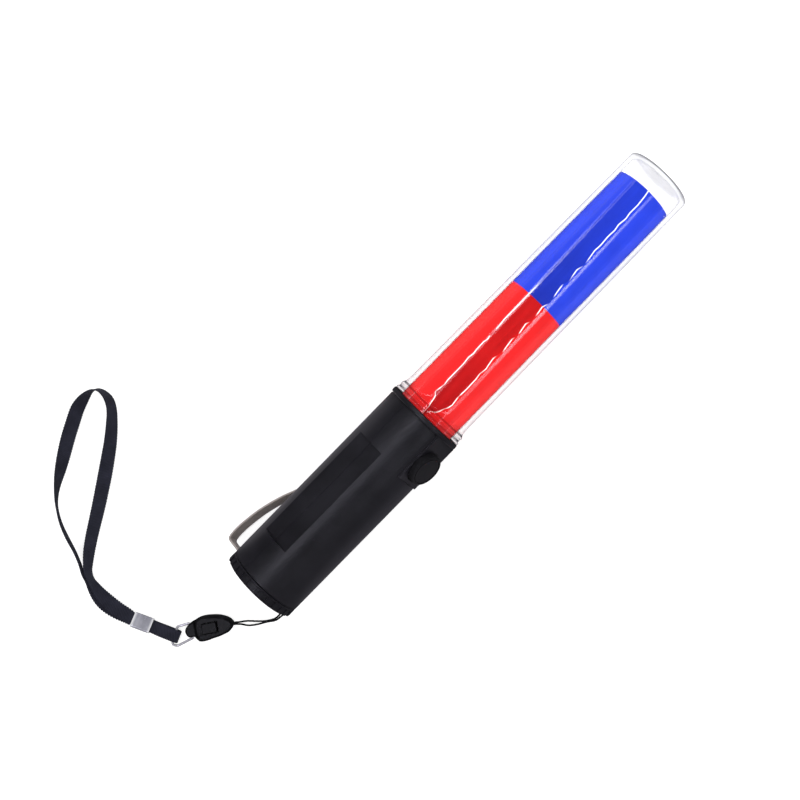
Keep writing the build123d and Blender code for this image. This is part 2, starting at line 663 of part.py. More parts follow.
# ---- lanyard: wrist strap and ferrule --------------------------------------
# One ribbon: out of the ferrule, round the ring, back through the ferrule,
# round the wrist loop and into the ferrule again.
STRAP_W, STRAP_T = 7.2, 0.8
LOOP_START_W = 7.0            # strap width at the loop's first station
FERRULE_STRAP_W = 6.3         # strap width inside the ferrule
FOLD_W = 6.0                  # strap width near the ring
LAYER_GAP = 0.45              # strap layers in the ferrule, each off its middle
DOUBLED = 6                   # loop stations where the two strands lie together
STRAND_DROP = 0.92            # how far the returning strand lies below the other
FERRULE_START = Vector(-56.05, 31.65, -17.1)
FERRULE_END = Vector(-52.15, 22.95, -17.1)
FERRULE_DIR = (FERRULE_END - FERRULE_START).normalized()
FERRULE_W = Vector(-0.857, -0.384, 0.342)     # across the strap
FERRULE_N = Vector(0.312, 0.14, 0.939)        # square to the strap
BAR_RUN = (                   # distance past the bar, height off it, twist from the ferrule
    (-7.5, 0.75, 0.4), (-5.0, 1.05, 0.75), (-2.0, 1.25, 1.0), (0.9, 1.25, 1.0))
FOLD_R = 1.25
LOOP_EDGES = [                # (lower edge, upper edge) of the strap round the wrist loop
    ((-53.6, 36.0, -19.0), (-60.3, 34.2, -17.0)), ((-54.6, 41.0, -19.0), (-61.4, 39.2, -17.2)),
    ((-55.3, 46.0, -19.1), (-61.6, 44.6, -16.2)), ((-55.7, 50.7, -19.2), (-60.8, 49.4, -14.4)),
    ((-55.8, 54.5, -19.2), (-59.2, 54.2, -13.0)), ((-55.6, 58.5, -19.2), (-57.0, 58.9, -12.4)),
    ((-53.6, 61.8, -19.2), (-54.9, 63.6, -12.6)), ((-50.6, 64.0, -19.2), (-52.3, 66.7, -12.9)),
    ((-45.9, 67.1, -19.2), (-48.0, 71.0, -13.6)), ((-40.1, 70.8, -19.2), (-42.2, 75.2, -14.2)),
    ((-33.9, 74.4, -19.2), (-36.0, 79.2, -14.6)), ((-27.1, 78.3, -19.2), (-29.8, 83.3, -15.1)),
    ((-20.5, 82.4, -19.2), (-23.6, 87.4, -15.5)), ((-14.2, 86.4, -19.2), (-17.5, 91.5, -15.8)),
    ((-7.5, 91.0, -19.2), (-11.0, 95.6, -15.2)), ((-1.3, 95.7, -19.2), (-4.6, 99.6, -14.4)),
    ((4.7, 101.1, -19.2), (1.5, 103.9, -13.7)), ((10.1, 107.0, -19.2), (7.2, 108.6, -13.1)),
    ((12.4, 111.5, -19.2), (9.6, 112.0, -12.9)), ((12.4, 115.8, -19.2), (10.8, 115.0, -12.6)),
    ((11.2, 118.8, -19.2), (10.9, 118.0, -12.1)), ((9.5, 120.2, -19.2), (9.8, 119.9, -12.1)),
    ((6.9, 120.3, -19.2), (7.4, 121.6, -12.2)), ((3.4, 119.0, -19.2), (2.9, 122.8, -13.2)),
    ((-2.0, 116.9, -19.2), (-3.6, 122.5, -15.2)), ((-8.2, 113.8, -19.2), (-10.6, 119.6, -15.9)),
    ((-15.0, 110.3, -19.2), (-17.3, 116.2, -15.7)), ((-22.0, 106.6, -19.2), (-23.5, 112.0, -14.8)),
    ((-28.9, 103.2, -19.2), (-29.3, 107.4, -13.6)), ((-34.8, 100.6, -19.2), (-34.1, 102.9, -12.7)),
    ((-39.6, 97.8, -19.2), (-38.7, 98.2, -12.2)), ((-43.7, 94.0, -19.2), (-42.3, 93.7, -12.3)),
    ((-47.4, 87.8, -19.2), (-46.4, 87.5, -12.3)), ((-50.1, 80.7, -19.2), (-49.4, 80.5, -12.2)),
    ((-52.5, 73.6, -19.2), (-51.6, 73.3, -12.2)), ((-54.9, 68.0, -19.2), (-53.9, 67.8, -12.2)),
    ((-56.9, 63.5, -19.2), (-56.4, 63.3, -12.2))]


# Each station is (centre, width direction, width).
def lerp(start, end, share):
    return start + (end - start) * share


def ferrule_station(share, side):
    """Station inside the ferrule; side is +1 for the upper layer, -1 for the lower."""
    centre = lerp(FERRULE_START, FERRULE_END, share) + FERRULE_N * (LAYER_GAP * side)
    return centre, FERRULE_W, FERRULE_STRAP_W


def bar_station(past, gap, twist, side):
    """Station between ferrule and ring, above (+1) or below (-1) the bar."""
    centre = BAR + BAR_D * past + Vector(0, 0, gap * side)
    return centre, lerp(FERRULE_W, BAR_W, twist).normalized(), FOLD_W


def fold_station(degrees):
    """Station on the fold round the bar."""
    angle = math.radians(degrees)
    centre = (BAR + BAR_D * (FOLD_R + 1.3 * math.cos(angle))
              + Vector(0, 0, FOLD_R * math.sin(angle)))
    return centre, BAR_W, FOLD_W


def loop_station(i, drop=0.0):
    """Station i of the wrist loop, moved down by drop along the ribbon's normal."""
    low, up = Vector(*LOOP_EDGES[i][0]), Vector(*LOOP_EDGES[i][1])
    ahead = Vector(*LOOP_EDGES[min(i + 1, len(LOOP_EDGES) - 1)][0])
    back = Vector(*LOOP_EDGES[max(i - 1, 0)][0])
    normal = (up - low).cross(ahead - back).normalized()
    if normal.Z < 0:
        normal = normal * -1
    width = LOOP_START_W if i == 0 else STRAP_W
    return (low + up) * 0.5 - normal * drop, (up - low).normalized(), width


def ribbon_solid(stations):
    """Ruled ribbon through the stations."""
    with BuildPart() as band:
        for i, (centre, wide, width) in enumerate(stations):
            ahead = stations[min(i + 1, len(stations) - 1)][0]
            back = stations[max(i - 1, 0)][0]
            along = (ahead - back).normalized()
            along = (along - wide * along.dot(wide)).normalized()
            with BuildSketch(Plane(origin=centre, x_dir=wide, z_dir=along)):
                Rectangle(width, STRAP_T)
        loft(ruled=True)
    return band.part


strap_stations = [
    *(ferrule_station(share, -1) for share in (0.45, 1.0)),
    *(bar_station(*row, -1) for row in BAR_RUN),
    *(fold_station(degrees) for degrees in (-60, -25, 0, 25, 60)),
    *(bar_station(*row, 1) for row in reversed(BAR_RUN)),
    *(ferrule_station(share, 1) for share in (1.0, 0.0)),
    *(loop_station(i) for i in range(len(LOOP_EDGES))),
    *(loop_station(i, STRAND_DROP) for i in reversed(range(DOUBLED))),
    *(ferrule_station(share, -1) for share in (0.0, 0.4))]
save(ribbon_solid(strap_stations), "wrist_strap")

with BuildPart() as strap_ferrule:
    with BuildSketch(Plane(origin=FERRULE_START, x_dir=FERRULE_W, z_dir=FERRULE_DIR)):
        RectangleRounded(7.4, 2.7, 0.9)
        RectangleRounded(6.7, 2.0, 0.5, mode=Mode.SUBTRACT)
    extrude(amount=9.4)
save(strap_ferrule.part, "strap_ferrule")

# ---- lanyard: cord ---------------------------------------------------------
# One loop through the cap's lanyard hole, both ends in the plug's nose.
NOSE = RELEASE.from_local_coords((21.6, -0.3, -0.2))
CORD_R = 0.4
CORD_POINTS = [
    NOSE + Vector(0.2, 0.3, 0.0), (-21.9, -5.3, -17.4), (-19.3, -7.7, -18.6),
    (-14.2, -12.9, -18.3), (-9.2, -16.0, -18.4), (-3.8, -15.9, -14.0),
    # in through the base and out through the side
    eye_point(-2.3, 18.2), eye_point(-0.8, 16.25), eye_point(1.0, EYE_R),
    eye_point(2.2, 17.0), eye_point(1.6, 19.9), eye_point(-1.2, 20.6),
    (-4.6, -17.6, -14.6), (-9.2, -17.4, -18.5), (-14.8, -13.9, -18.9),
    (-19.9, -9.9, -18.9), (-22.1, -6.4, -17.8), NOSE + Vector(-0.1, -0.45, -0.1)]

with BuildPart() as cord_loop:
    with BuildLine() as loop:
        Spline(*CORD_POINTS)
    with BuildSketch(Plane(origin=loop.line @ 0, z_dir=loop.line % 0)):
        Circle(CORD_R)
    sweep(path=loop.line, is_frenet=True)
save(cord_loop.part, "cord_loop")
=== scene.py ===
"""Light baton with a belt clip, a wrist strap and a cord, lying on a pale floor.

The baton's axis is the world X axis: the screw cap is near x = 0, the handle follows and the
clear lens tube, with coloured film rolled inside, closes the +X end. The camera looks down
from above. Shapes are measured in millimetres and scaled by MM. The baton is rolled about its
axis, so CLIP_WAY points from the axis to the belt clip.
"""
import json
import math

import bmesh
import bpy
import numpy as np
from mathutils import Matrix, Vector


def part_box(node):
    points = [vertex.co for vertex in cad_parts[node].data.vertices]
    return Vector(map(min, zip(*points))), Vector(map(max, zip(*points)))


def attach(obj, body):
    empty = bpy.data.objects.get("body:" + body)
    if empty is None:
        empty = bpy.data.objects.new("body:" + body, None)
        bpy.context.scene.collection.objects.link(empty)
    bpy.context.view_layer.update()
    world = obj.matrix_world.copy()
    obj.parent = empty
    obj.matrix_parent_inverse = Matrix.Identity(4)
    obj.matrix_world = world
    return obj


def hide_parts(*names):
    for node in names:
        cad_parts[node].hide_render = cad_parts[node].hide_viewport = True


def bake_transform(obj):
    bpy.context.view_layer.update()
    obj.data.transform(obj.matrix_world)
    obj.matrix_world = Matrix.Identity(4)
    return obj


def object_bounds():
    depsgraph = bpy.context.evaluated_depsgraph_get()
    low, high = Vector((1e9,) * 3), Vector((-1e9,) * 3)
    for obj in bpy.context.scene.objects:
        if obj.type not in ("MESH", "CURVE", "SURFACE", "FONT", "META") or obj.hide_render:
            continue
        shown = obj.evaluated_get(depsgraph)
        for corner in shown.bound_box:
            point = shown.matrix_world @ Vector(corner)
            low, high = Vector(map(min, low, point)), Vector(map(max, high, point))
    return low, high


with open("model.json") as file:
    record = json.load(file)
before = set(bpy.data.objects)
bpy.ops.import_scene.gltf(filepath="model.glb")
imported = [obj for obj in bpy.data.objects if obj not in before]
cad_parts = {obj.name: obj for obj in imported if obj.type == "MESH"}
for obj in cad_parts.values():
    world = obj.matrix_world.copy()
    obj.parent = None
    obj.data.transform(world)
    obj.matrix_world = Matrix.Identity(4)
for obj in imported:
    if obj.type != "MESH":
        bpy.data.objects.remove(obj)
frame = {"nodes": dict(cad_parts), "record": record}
CAD_BOX = [list(map(float, corner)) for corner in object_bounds()]
MM = 0.001
FLOOR_Z = CAD_BOX[0][2] - 0.00003

ROLL = math.radians(56.0)
AXIS = Vector((1, 0, 0))
CLIP_WAY = Vector((0, math.sin(ROLL), -math.cos(ROLL)))
SIDE_WAY = Vector((0, -math.cos(ROLL), -math.sin(ROLL)))     # square to AXIS and CLIP_WAY

scene = bpy.context.scene
scene.view_settings.view_transform = "Standard"
scene.view_settings.look = "None"
scene.view_settings.exposure = 0.0


# ---------------------------------------------------------------- node helpers
class Nodes:
    """Short calls for building a shader tree. Most of them return an output socket."""

    def __init__(self, tree):
        self.tree = tree
        self.coord_node = None

    def node(self, kind, **settings):
        """A node. _name sets a property, i0 an input by index, Base__Color one by name."""
        node = self.tree.nodes.new(kind)
        for key, value in settings.items():
            if key.startswith("_"):
                setattr(node, key[1:], value)
            else:
                self.put(node, key, value)
        return node

    def put(self, node, key, value):
        """Links a node or socket to an input, or sets the input's value."""
        by_index = key.startswith("i") and key[1:].isdigit()
        socket = node.inputs[int(key[1:]) if by_index else key.replace("__", " ")]
        if isinstance(value, bpy.types.Node):
            value = value.outputs[0]
        if isinstance(value, bpy.types.NodeSocket):
            self.tree.links.new(value, socket)
            return
        if socket.type == "RGBA" and len(value) == 3:
            value = (*value, 1.0)
        socket.default_value = value

    def coord(self):
        if self.coord_node is None:
            self.coord_node = self.node("ShaderNodeTexCoord")
        return self.coord_node.outputs["Object"]

    def noise(self, scale=1.0, detail=3.0, rough=0.55, stretch=None):
        """Noise in object space; stretch multiplies the coordinates along x, y and z."""
        vector = self.coord()
        if stretch is not None:
            vector = self.node("ShaderNodeMapping", Scale=stretch, Vector=vector)
        return self.node("ShaderNodeTexNoise", Scale=scale, Detail=detail, Roughness=rough,
                         Vector=vector).outputs[0]

    def ramp(self, factor, stops):
        """Grey ramp; stops are (position, level)."""
        node = self.node("ShaderNodeValToRGB", Fac=factor)
        elements = node.color_ramp.elements
        while len(elements) > 1:
            elements.remove(elements[-1])
        for i, (position, level) in enumerate(stops):
            element = elements[0] if i == 0 else elements.new(position)
            element.position = position
            element.color = (level, level, level, 1.0)
        return node.outputs["Color"]

    def math(self, operation, a, b=0.0):
        return self.node("ShaderNodeMath", _operation=operation, i0=a, i1=b).outputs[0]

    def add(self, a, b):
        return self.math("ADD", a, b)

    def mul(self, a, b):
        return self.math("MULTIPLY", a, b)

    def remap(self, value, src=(0.0, 1.0), to=(0.0, 1.0)):
        return self.node("ShaderNodeMapRange", Value=value, From__Min=src[0], From__Max=src[1],
                         To__Min=to[0], To__Max=to[1]).outputs[0]

    def mix(self, factor, a, b):
        return self.node("ShaderNodeMix", _data_type="RGBA", i0=factor, i6=a, i7=b).outputs[2]

    def bump(self, height, strength, distance, normal=None):
        node = self.node("ShaderNodeBump", Strength=strength, Distance=distance, Height=height)
        if normal is not None:
            self.put(node, "Normal", normal)
        return node.outputs[0]

    def attr(self, name):
        return self.node("ShaderNodeAttribute", _attribute_name=name).outputs["Fac"]


MATS = {}       # every Mat adds its material here under its name


class Mat(Nodes):
    """An empty material with its output node."""

    def __init__(self, name):
        self.material = bpy.data.materials.new(name)
        self.material.use_nodes = True
        super().__init__(self.material.node_tree)
        self.tree.nodes.clear()
        self.out = self.node("ShaderNodeOutputMaterial")
        MATS[name] = self.material

    def surface(self, shader):
        self.put(self.out, "i0", shader)

    def principled(self, **settings):
        self.surface(self.node("ShaderNodeBsdfPrincipled", **settings))


def lift(colour, gain, plus=0.0):
    return tuple(min(1.0, c * gain + plus) for c in colour)


# ---------------------------------------------------------------- material recipes
def moulded(name, colour, rough, grain=2600.0, depth=0.000012, shift=(0.0, 0.0, 0.0),
            coat=0.0, scuff=0.25, spec=0.5):
    """Moulded plastic: fine grain, slow tone changes, faint scuffs. shift tints the light tone."""
    m = Mat(name)
    slow = m.noise(scale=38.0)
    fine = m.noise(scale=grain, detail=2.0)
    scratch = m.noise(scale=210.0, detail=5.0, rough=0.7, stretch=(0.25, 1.6, 1.6))
    light = tuple(min(1.0, c * 1.5 + 0.004 + s) for c, s in zip(colour, shift))
    tone = m.mix(m.remap(slow, src=(0.35, 0.68)), colour, light)
    tone = m.mix(m.remap(scratch, src=(0.62, 0.78), to=(0.0, scuff)), tone,
                 lift(colour, gain=2.4, plus=0.012))
    roughness = m.add(m.remap(slow, src=(0.3, 0.7), to=(rough - 0.04, rough + 0.05)),
                      m.remap(scratch, src=(0.55, 0.8), to=(0.0, 0.08)))
    normal = m.bump(fine, strength=0.55, distance=depth)
    normal = m.bump(scratch, strength=0.15, distance=0.00001, normal=normal)
    m.principled(Base__Color=tone, Roughness=roughness, Normal=normal, IOR=1.5,
                 Specular__IOR__Level=spec, Coat__Weight=coat, Coat__Roughness=0.12)


def metal(name, colour, rough, brush=(60.0, 2600.0, 2600.0), depth=0.00001, stain=0.25,
          dark=None, metallic=1.0, painted_end_highlight=None):
    """Brushed or drawn metal with tone changes.

    The last argument, (middle, direction, half length) in metres, paints a highlight, near white,
    on both ends of a rolled piece.
    """
    m = Mat(name)
    lines = m.noise(detail=4.0, rough=0.6, stretch=brush)
    slow = m.noise(scale=160.0)
    tone = m.mix(m.remap(slow, src=(0.35, 0.7), to=(0.0, stain)), colour,
                 dark or lift(colour, gain=0.6))
    tone = m.mix(m.remap(lines, src=(0.4, 0.7), to=(0.0, 0.35)), tone, lift(colour, gain=1.25))
    # painted highlight: both ends of the rolled piece are painted near white
    if painted_end_highlight is not None:
        middle, direction, half = painted_end_highlight
        offset = m.node("ShaderNodeVectorMath", _operation="SUBTRACT", i0=m.coord(), i1=middle)
        dot = m.node("ShaderNodeVectorMath", _operation="DOT_PRODUCT", i0=offset, i1=direction)
        reach = m.math("DIVIDE", m.math("ABSOLUTE", dot.outputs["Value"]), half)
        tone = m.mix(m.remap(reach, src=(0.70, 0.94)), tone, (0.93, 0.93, 0.96))
    roughness = m.remap(lines, src=(0.3, 0.7), to=(max(rough - 0.07, 0.03), rough + 0.09))
    m.principled(Base__Color=tone, Metallic=metallic, Roughness=roughness,
                 Normal=m.bump(lines, strength=0.35, distance=depth))


def rubbery(name, colour, rough=0.55):
    m = Mat(name)
    fine = m.noise(scale=3800.0, detail=2.0)
    slow = m.noise(scale=70.0)
    tone = m.mix(m.remap(slow, src=(0.35, 0.7)), colour, lift(colour, gain=1.7, plus=0.004))
    m.principled(Base__Color=tone,
                 Roughness=m.remap(slow, src=(0.3, 0.7), to=(rough - 0.06, rough + 0.06)),
                 Normal=m.bump(fine, strength=0.5, distance=0.00001),
                 Specular__IOR__Level=0.18, Sheen__Weight=0.02)


def film(name, bright, deep):
    """Coloured sheet. Painted shade: a deeper colour where it touches the tube. Painted highlight:
    white glints, with a faint glow, along the creases.
    """
    m = Mat(name)
    patch = m.attr("patch")
    crease = m.attr("crease")
    streak = m.noise(rough=0.5, stretch=(9.0, 420.0, 420.0))
    haze = m.noise(scale=90.0)
    # painted shade: where the sheet lies against the tube it takes the deeper colour, with random
    # darker streaks inside
    tone = m.mix(patch, bright, deep)
    tone = m.mix(m.remap(streak, src=(0.50, 0.75), to=(0.0, 0.20)), tone,
                 lift(bright, gain=1.12, plus=0.005))
    broad = m.noise(rough=0.5, stretch=(14.0, 150.0, 150.0))
    tone = m.mix(m.mul(m.remap(broad, src=(0.42, 0.68), to=(0.0, 0.80)), patch), tone,
                 lift(deep, gain=0.55))
    tone = m.mix(m.remap(haze, src=(0.40, 0.75), to=(0.0, 0.25)), tone, deep)
    # painted highlight: the creases are painted white and made to glow a little by the emission
    # below
    glint = m.remap(crease, src=(0.25, 0.75))
    tone = m.mix(glint, tone, (1.0, 1.0, 1.0))
    m.principled(Base__Color=tone, Roughness=m.remap(haze, src=(0.3, 0.7), to=(0.30, 0.42)),
                 IOR=1.45, Specular__IOR__Level=0.06,
                 Normal=m.bump(streak, strength=0.05, distance=0.00006),
                 Emission__Color=(1.0, 1.0, 1.0), Emission__Strength=m.mul(glint, 0.35))


def clear_tube(name):
    """Clear acrylic as a thin skin: sharp sheen, painted grey shade at grazing angles, fine flow
    marks.

    Two point attributes mark where the flange's steps and the rounded end bend the light away;
    there the grey is painted shade.
    """
    m = Mat(name)
    flow = m.noise(detail=2.0, rough=0.5, stretch=(9.0, 120.0, 120.0))
    fine = m.noise(scale=520.0, detail=2.0)
    normal = m.bump(flow, strength=0.05, distance=0.00010)
    facing = m.node("ShaderNodeLayerWeight", Blend=0.5).outputs["Facing"]
    # painted shade: the clear skin turns grey towards grazing angles
    tone = m.mix(m.math("POWER", facing, 5.0), (0.999, 0.999, 0.999), (0.36, 0.36, 0.39))
    # painted shade on the flange's steps, stronger towards grazing angles
    rim = m.mul(m.attr("rim"), m.remap(facing, src=(0.05, 0.75), to=(0.30, 1.0)))
    tone = m.mix(rim, tone, (0.16, 0.14, 0.16))
    # painted shade at the rounded end, weak on the far side of the tube
    backfacing = m.node("ShaderNodeNewGeometry").outputs["Backfacing"]
    near_side = m.remap(backfacing, to=(1.0, 0.10))
    tip = m.mul(m.mul(m.attr("tip"), near_side), m.remap(facing, src=(0.16, 0.42)))
    tone = m.mix(tip, tone, (0.11, 0.105, 0.13))
    see_through = m.node("ShaderNodeBsdfTransparent", Color=tone)
    fresnel = m.node("ShaderNodeFresnel", IOR=1.49, Normal=normal)
    shine = m.math("MINIMUM", fresnel, 0.35)
    sheen = m.node("ShaderNodeBsdfGlossy", Color=m.mix(shine, (0.0, 0.0, 0.0), (1.0, 1.0, 1.0)),
                   Roughness=m.remap(fine, src=(0.3, 0.7), to=(0.02, 0.06)), Normal=normal)
    m.surface(m.node("ShaderNodeAddShader", i0=see_through, i1=sheen))


RIB_PITCH, RIB_SLANT = 0.80, 0.35      # mm; the ribbon's cross ribs, in both shader and mesh
WARP_PITCH, PLY_PITCH = 0.42, 0.5      # mm; ribbon threads and cord plies


def sine_wave(m, distance, pitch):
    return m.math("SINE", m.mul(distance, 2 * math.pi / pitch))


def woven(name, dark, light):
    """Plain-weave ribbon. Reads the ribbon's own along and side, in millimetres."""
    m = Mat(name)
    along, side = m.attr("along"), m.attr("side")
    rib = sine_wave(m, m.add(along, m.mul(side, RIB_SLANT)), RIB_PITCH)
    weave = m.mul(rib, sine_wave(m, side, WARP_PITCH))
    slow = m.noise(scale=120.0)
    fuzz = m.noise(scale=2400.0)
    height = m.add(m.mul(rib, 0.5), m.mul(weave, 0.5))
    # painted shade: the weave's hollows are painted darker and its raised ribs lighter, following
    # the bump height
    tone = m.mix(m.remap(height, src=(-1.0, 1.0)), dark, light)
    tone = m.mix(m.remap(slow, src=(0.35, 0.7), to=(0.0, 0.35)), tone, lift(light, gain=1.5))
    normal = m.bump(height, strength=0.7, distance=0.00012)
    normal = m.bump(fuzz, strength=0.35, distance=0.00004, normal=normal)
    m.principled(Base__Color=tone, Roughness=0.78, Normal=normal, Sheen__Weight=0.12,
                 Sheen__Roughness=0.4, Sheen__Tint=(0.5, 0.52, 0.62), Specular__IOR__Level=0.2)


def corded(name, colour):
    m = Mat(name)
    ply = sine_wave(m, m.attr("along"), PLY_PITCH)
    fuzz = m.noise(scale=5200.0)
    tone = m.mix(m.remap(ply, src=(-1.0, 1.0)), colour, lift(colour, gain=2.2, plus=0.004))
    m.principled(Base__Color=tone, Roughness=0.65, Specular__IOR__Level=0.2,
                 Normal=m.bump(fuzz, strength=0.4, distance=0.00003))


def board(name, colour):
    m = Mat(name)
    tracks = m.noise(detail=1.0, rough=0.2, stretch=(900.0, 900.0, 250.0))
    tone = m.mix(m.remap(tracks, src=(0.48, 0.54), to=(0.0, 0.5)), colour,
                 lift(colour, gain=0.7))
    m.principled(Base__Color=tone, Roughness=0.35,
                 Normal=m.bump(tracks, strength=0.2, distance=0.00002))


def make_materials():
    handle_skin = dict(grain=3000.0, depth=0.00002, shift=(-0.002, -0.002, -0.001))
    moulded("black_plastic", (0.0078, 0.0074, 0.0102), rough=0.34, scuff=0.06, spec=0.42,
            **handle_skin)
    moulded("cap_plastic", (0.0078, 0.0074, 0.0100), rough=0.36, scuff=0.10, spec=0.35,
            **handle_skin)
    rubbery("seal_rubber", (0.02, 0.02, 0.02))
    metal("spring_steel", (0.62, 0.62, 0.62), rough=0.25)
    moulded("cartridge_plastic", (0.03, 0.03, 0.03), rough=0.5)
    moulded("cell_jacket", (0.05, 0.12, 0.18), rough=0.3, coat=0.4)
    metal("contact_nickel", (0.70, 0.67, 0.60), rough=0.22)
    board("board_green", (0.02, 0.16, 0.06))
    moulded("chassis_plastic", (0.62, 0.62, 0.58), rough=0.45, scuff=0.05)
    metal("screw_steel", (0.55, 0.55, 0.56), rough=0.3)
    moulded("switch_black", (0.02, 0.02, 0.02), rough=0.4)
    moulded("switch_white", (0.7, 0.7, 0.66), rough=0.4, scuff=0.05)
    moulded("component_black", (0.02, 0.02, 0.022), rough=0.45)
    rubbery("button_rubber", (0.0048, 0.0046, 0.0062), rough=0.46)
    board("board_white", (0.78, 0.79, 0.78))
    moulded("led_red", (0.75, 0.08, 0.06), rough=0.15, coat=0.8)
    moulded("led_blue", (0.06, 0.10, 0.75), rough=0.15, coat=0.8)
    clear_tube("clear_acrylic")
    film("film_red", bright=(0.85, 0.016, 0.017), deep=(0.52, 0.007, 0.009))
    film("film_blue", bright=(0.022, 0.062, 0.74), deep=(0.014, 0.033, 0.42))
    rubbery("wire_red", (0.55, 0.03, 0.03), rough=0.35)
    rubbery("wire_black", (0.02, 0.02, 0.02), rough=0.35)
    metal("clip_steel", (0.42, 0.37, 0.355), rough=0.40, brush=(160.0, 1500.0, 1500.0),
          dark=(0.25, 0.215, 0.205), metallic=0.15, stain=0.45)
    moulded("connector_black", (0.0040, 0.0040, 0.0048), rough=0.22, grain=900.0,
            depth=0.000006, shift=(-0.003, -0.003, -0.003), scuff=0.12, spec=0.22)
    metal("ring_metal", (0.58, 0.57, 0.62), rough=0.18, brush=(900.0, 900.0, 900.0),
          metallic=0.45)
    woven("ribbon_navy", dark=(0.0042, 0.0044, 0.0088), light=(0.026, 0.027, 0.044))
    # the ferrule's two ends get a painted highlight
    metal("ferrule_sheet", (0.50, 0.50, 0.57), rough=0.20, brush=(160.0, 160.0, 160.0),
          metallic=0.25, depth=0.00010, dark=(0.15, 0.15, 0.18), stain=1.0,
          painted_end_highlight=((-0.0541, 0.0273, -0.0171), (0.409, -0.912, 0.0), 0.0048))
    corded("cord_black", (0.0035, 0.0035, 0.0040))


def paint_cad_pieces():
    slot_of = {part["node"]: part["material_slot"] for part in frame["record"]["subparts"]}
    for node, ob in frame["nodes"].items():
        material = MATS.get(slot_of.get(node))
        if material is None:
            continue
        if not ob.data.materials:
            ob.data.materials.append(material)
        for slot in ob.material_slots:
            slot.link = "OBJECT"
            slot.material = material


# ---------------------------------------------------------------- mesh helpers
def make(name, verts, faces, mat, attrs, crisp=None):
    """Smooth closed mesh with float point attributes; edges over crisp degrees stay sharp."""
    mesh = bpy.data.meshes.new(name)
    mesh.from_pydata([tuple(v) for v in verts], [], faces)
    mesh.update()
    mesh.validate()
    mesh.shade_smooth()
    for key, values in attrs.items():
        attribute = mesh.attributes.new(key, "FLOAT", "POINT")
        attribute.data.foreach_set("value", np.asarray(values, dtype=np.float32))
    ob = bpy.data.objects.new(name, mesh)
    scene.collection.objects.link(ob)
    mesh.materials.append(MATS[mat])

    bm = bmesh.new()
    bm.from_mesh(mesh)
    bmesh.ops.recalc_face_normals(bm, faces=bm.faces)
    bm.to_mesh(mesh)
    bm.free()
    if crisp is not None:
        mesh.set_sharp_from_angle(angle=math.radians(crisp))
    return ob


def ring_sides(rows, ring, first=0):
    """Quads joining neighbouring rings of points, stored one ring after another."""
    faces = []
    for i in range(rows - 1):
        here = first + i * ring
        after = here + ring
        for k in range(ring):
            k2 = (k + 1) % ring
            faces.append((here + k, here + k2, after + k2, after + k))
    return faces


def swept_faces(rows, ring):
    """Sides of a swept solid and its two end caps."""
    caps = [tuple(range(ring))[::-1], tuple((rows - 1) * ring + k for k in range(ring))]
    return ring_sides(rows, ring) + caps


def unit(vectors):
    return vectors / np.linalg.norm(vectors, axis=1, keepdims=True)


def tangents(path):
    return unit(np.gradient(path, axis=0))


def distances(path):
    """Distance travelled at each point; only the first three columns are places."""
    return np.r_[0, np.cumsum(np.linalg.norm(np.diff(path[:, :3], axis=0), axis=1))]


def smooth_path(points, count):
    """Centripetal Catmull-Rom path resampled to count even steps, and its length.

    Columns after the first three are carried along.
    """
    points = np.asarray(points, float)
    padded = np.vstack([2 * points[0] - points[1], points, 2 * points[-1] - points[-2]])
    dense = []
    for i in range(len(padded) - 3):
        four = padded[i:i + 4]
        knots = [0.0]
        for a, b in zip(four, four[1:]):
            knots.append(knots[-1] + max(np.linalg.norm(b[:3] - a[:3]), 1e-9) ** 0.5)

        def between(t, start, end, a, b):
            width = knots[end] - knots[start]
            return (knots[end] - t) / width * a + (t - knots[start]) / width * b

        for t in np.linspace(knots[1], knots[2], 14, endpoint=False):
            level = four
            for span in (1, 2):
                level = [between(t, j, j + span, level[j], level[j + 1])
                         for j in range(len(level) - 1)]
            dense.append(between(t, 1, 2, *level))
    dense.append(points[-1])
    dense = np.array(dense)
    travelled = distances(dense)
    even = np.linspace(0, travelled[-1], count)
    columns = [np.interp(even, travelled, column) for column in dense.T]
    return np.stack(columns, axis=1), travelled[-1]


def bell(offset, width):
    return np.exp(-(offset / width) ** 2)


def table_at(table, x):
    xs, values = zip(*table)
    return np.interp(x, xs, values)


# ---------------------------------------------------------------- lens tube
TUBE_SEGMENTS = 192
BODY_X, BODY_R = 121.5, 17.54           # where the tapered body begins
TIP_X, TIP_R, TIP_ROUND = 259.3, 14.4, 2.3   # centre and radius of the closed end's corner

# (x, radius) from the handle's socket over the flange to the start of the body
FLANGE = [
    (105.0, 17.4), (105.0, 16.4), (107.0, 16.4), (107.0, 17.4), (110.7, 17.4), (110.7, 19.1),
    (110.8, 19.27), (110.98, 19.35), (111.5, 19.35), (111.72, 19.3), (111.86, 19.12),
    (111.94, 18.85), (112.1, 18.72), (112.4, 18.68), (113.3, 18.68), (113.5, 18.74),
    (113.62, 18.86), (113.8, 18.95), (114.3, 18.95), (114.55, 18.86), (114.75, 18.68),
    (115.0, 18.45), (115.3, 18.25), (115.8, 18.02), (116.5, 17.83), (117.4, 17.70),
    (118.6, 17.62), (BODY_X, BODY_R)]
FINE_STEP = 0.30
FINE_SPANS = ((110.0, 123.0), (258.0, 262.1))    # x ranges where the outline turns quickly
# painted shade: grey lines on the flange: (strength, x, width)
RIM_LINES = ((0.95, 112.35, 0.50), (0.9, 115.1, 0.45), (0.45, 113.6, 0.18), (0.5, 110.8, 0.15))


def tube_bore(x):
    return 15.50 + (x - 102.0) * (14.75 - 15.50) / 155.0


def body_radius(x):
    return BODY_R - (x - BODY_X) * 0.84 / 137.8


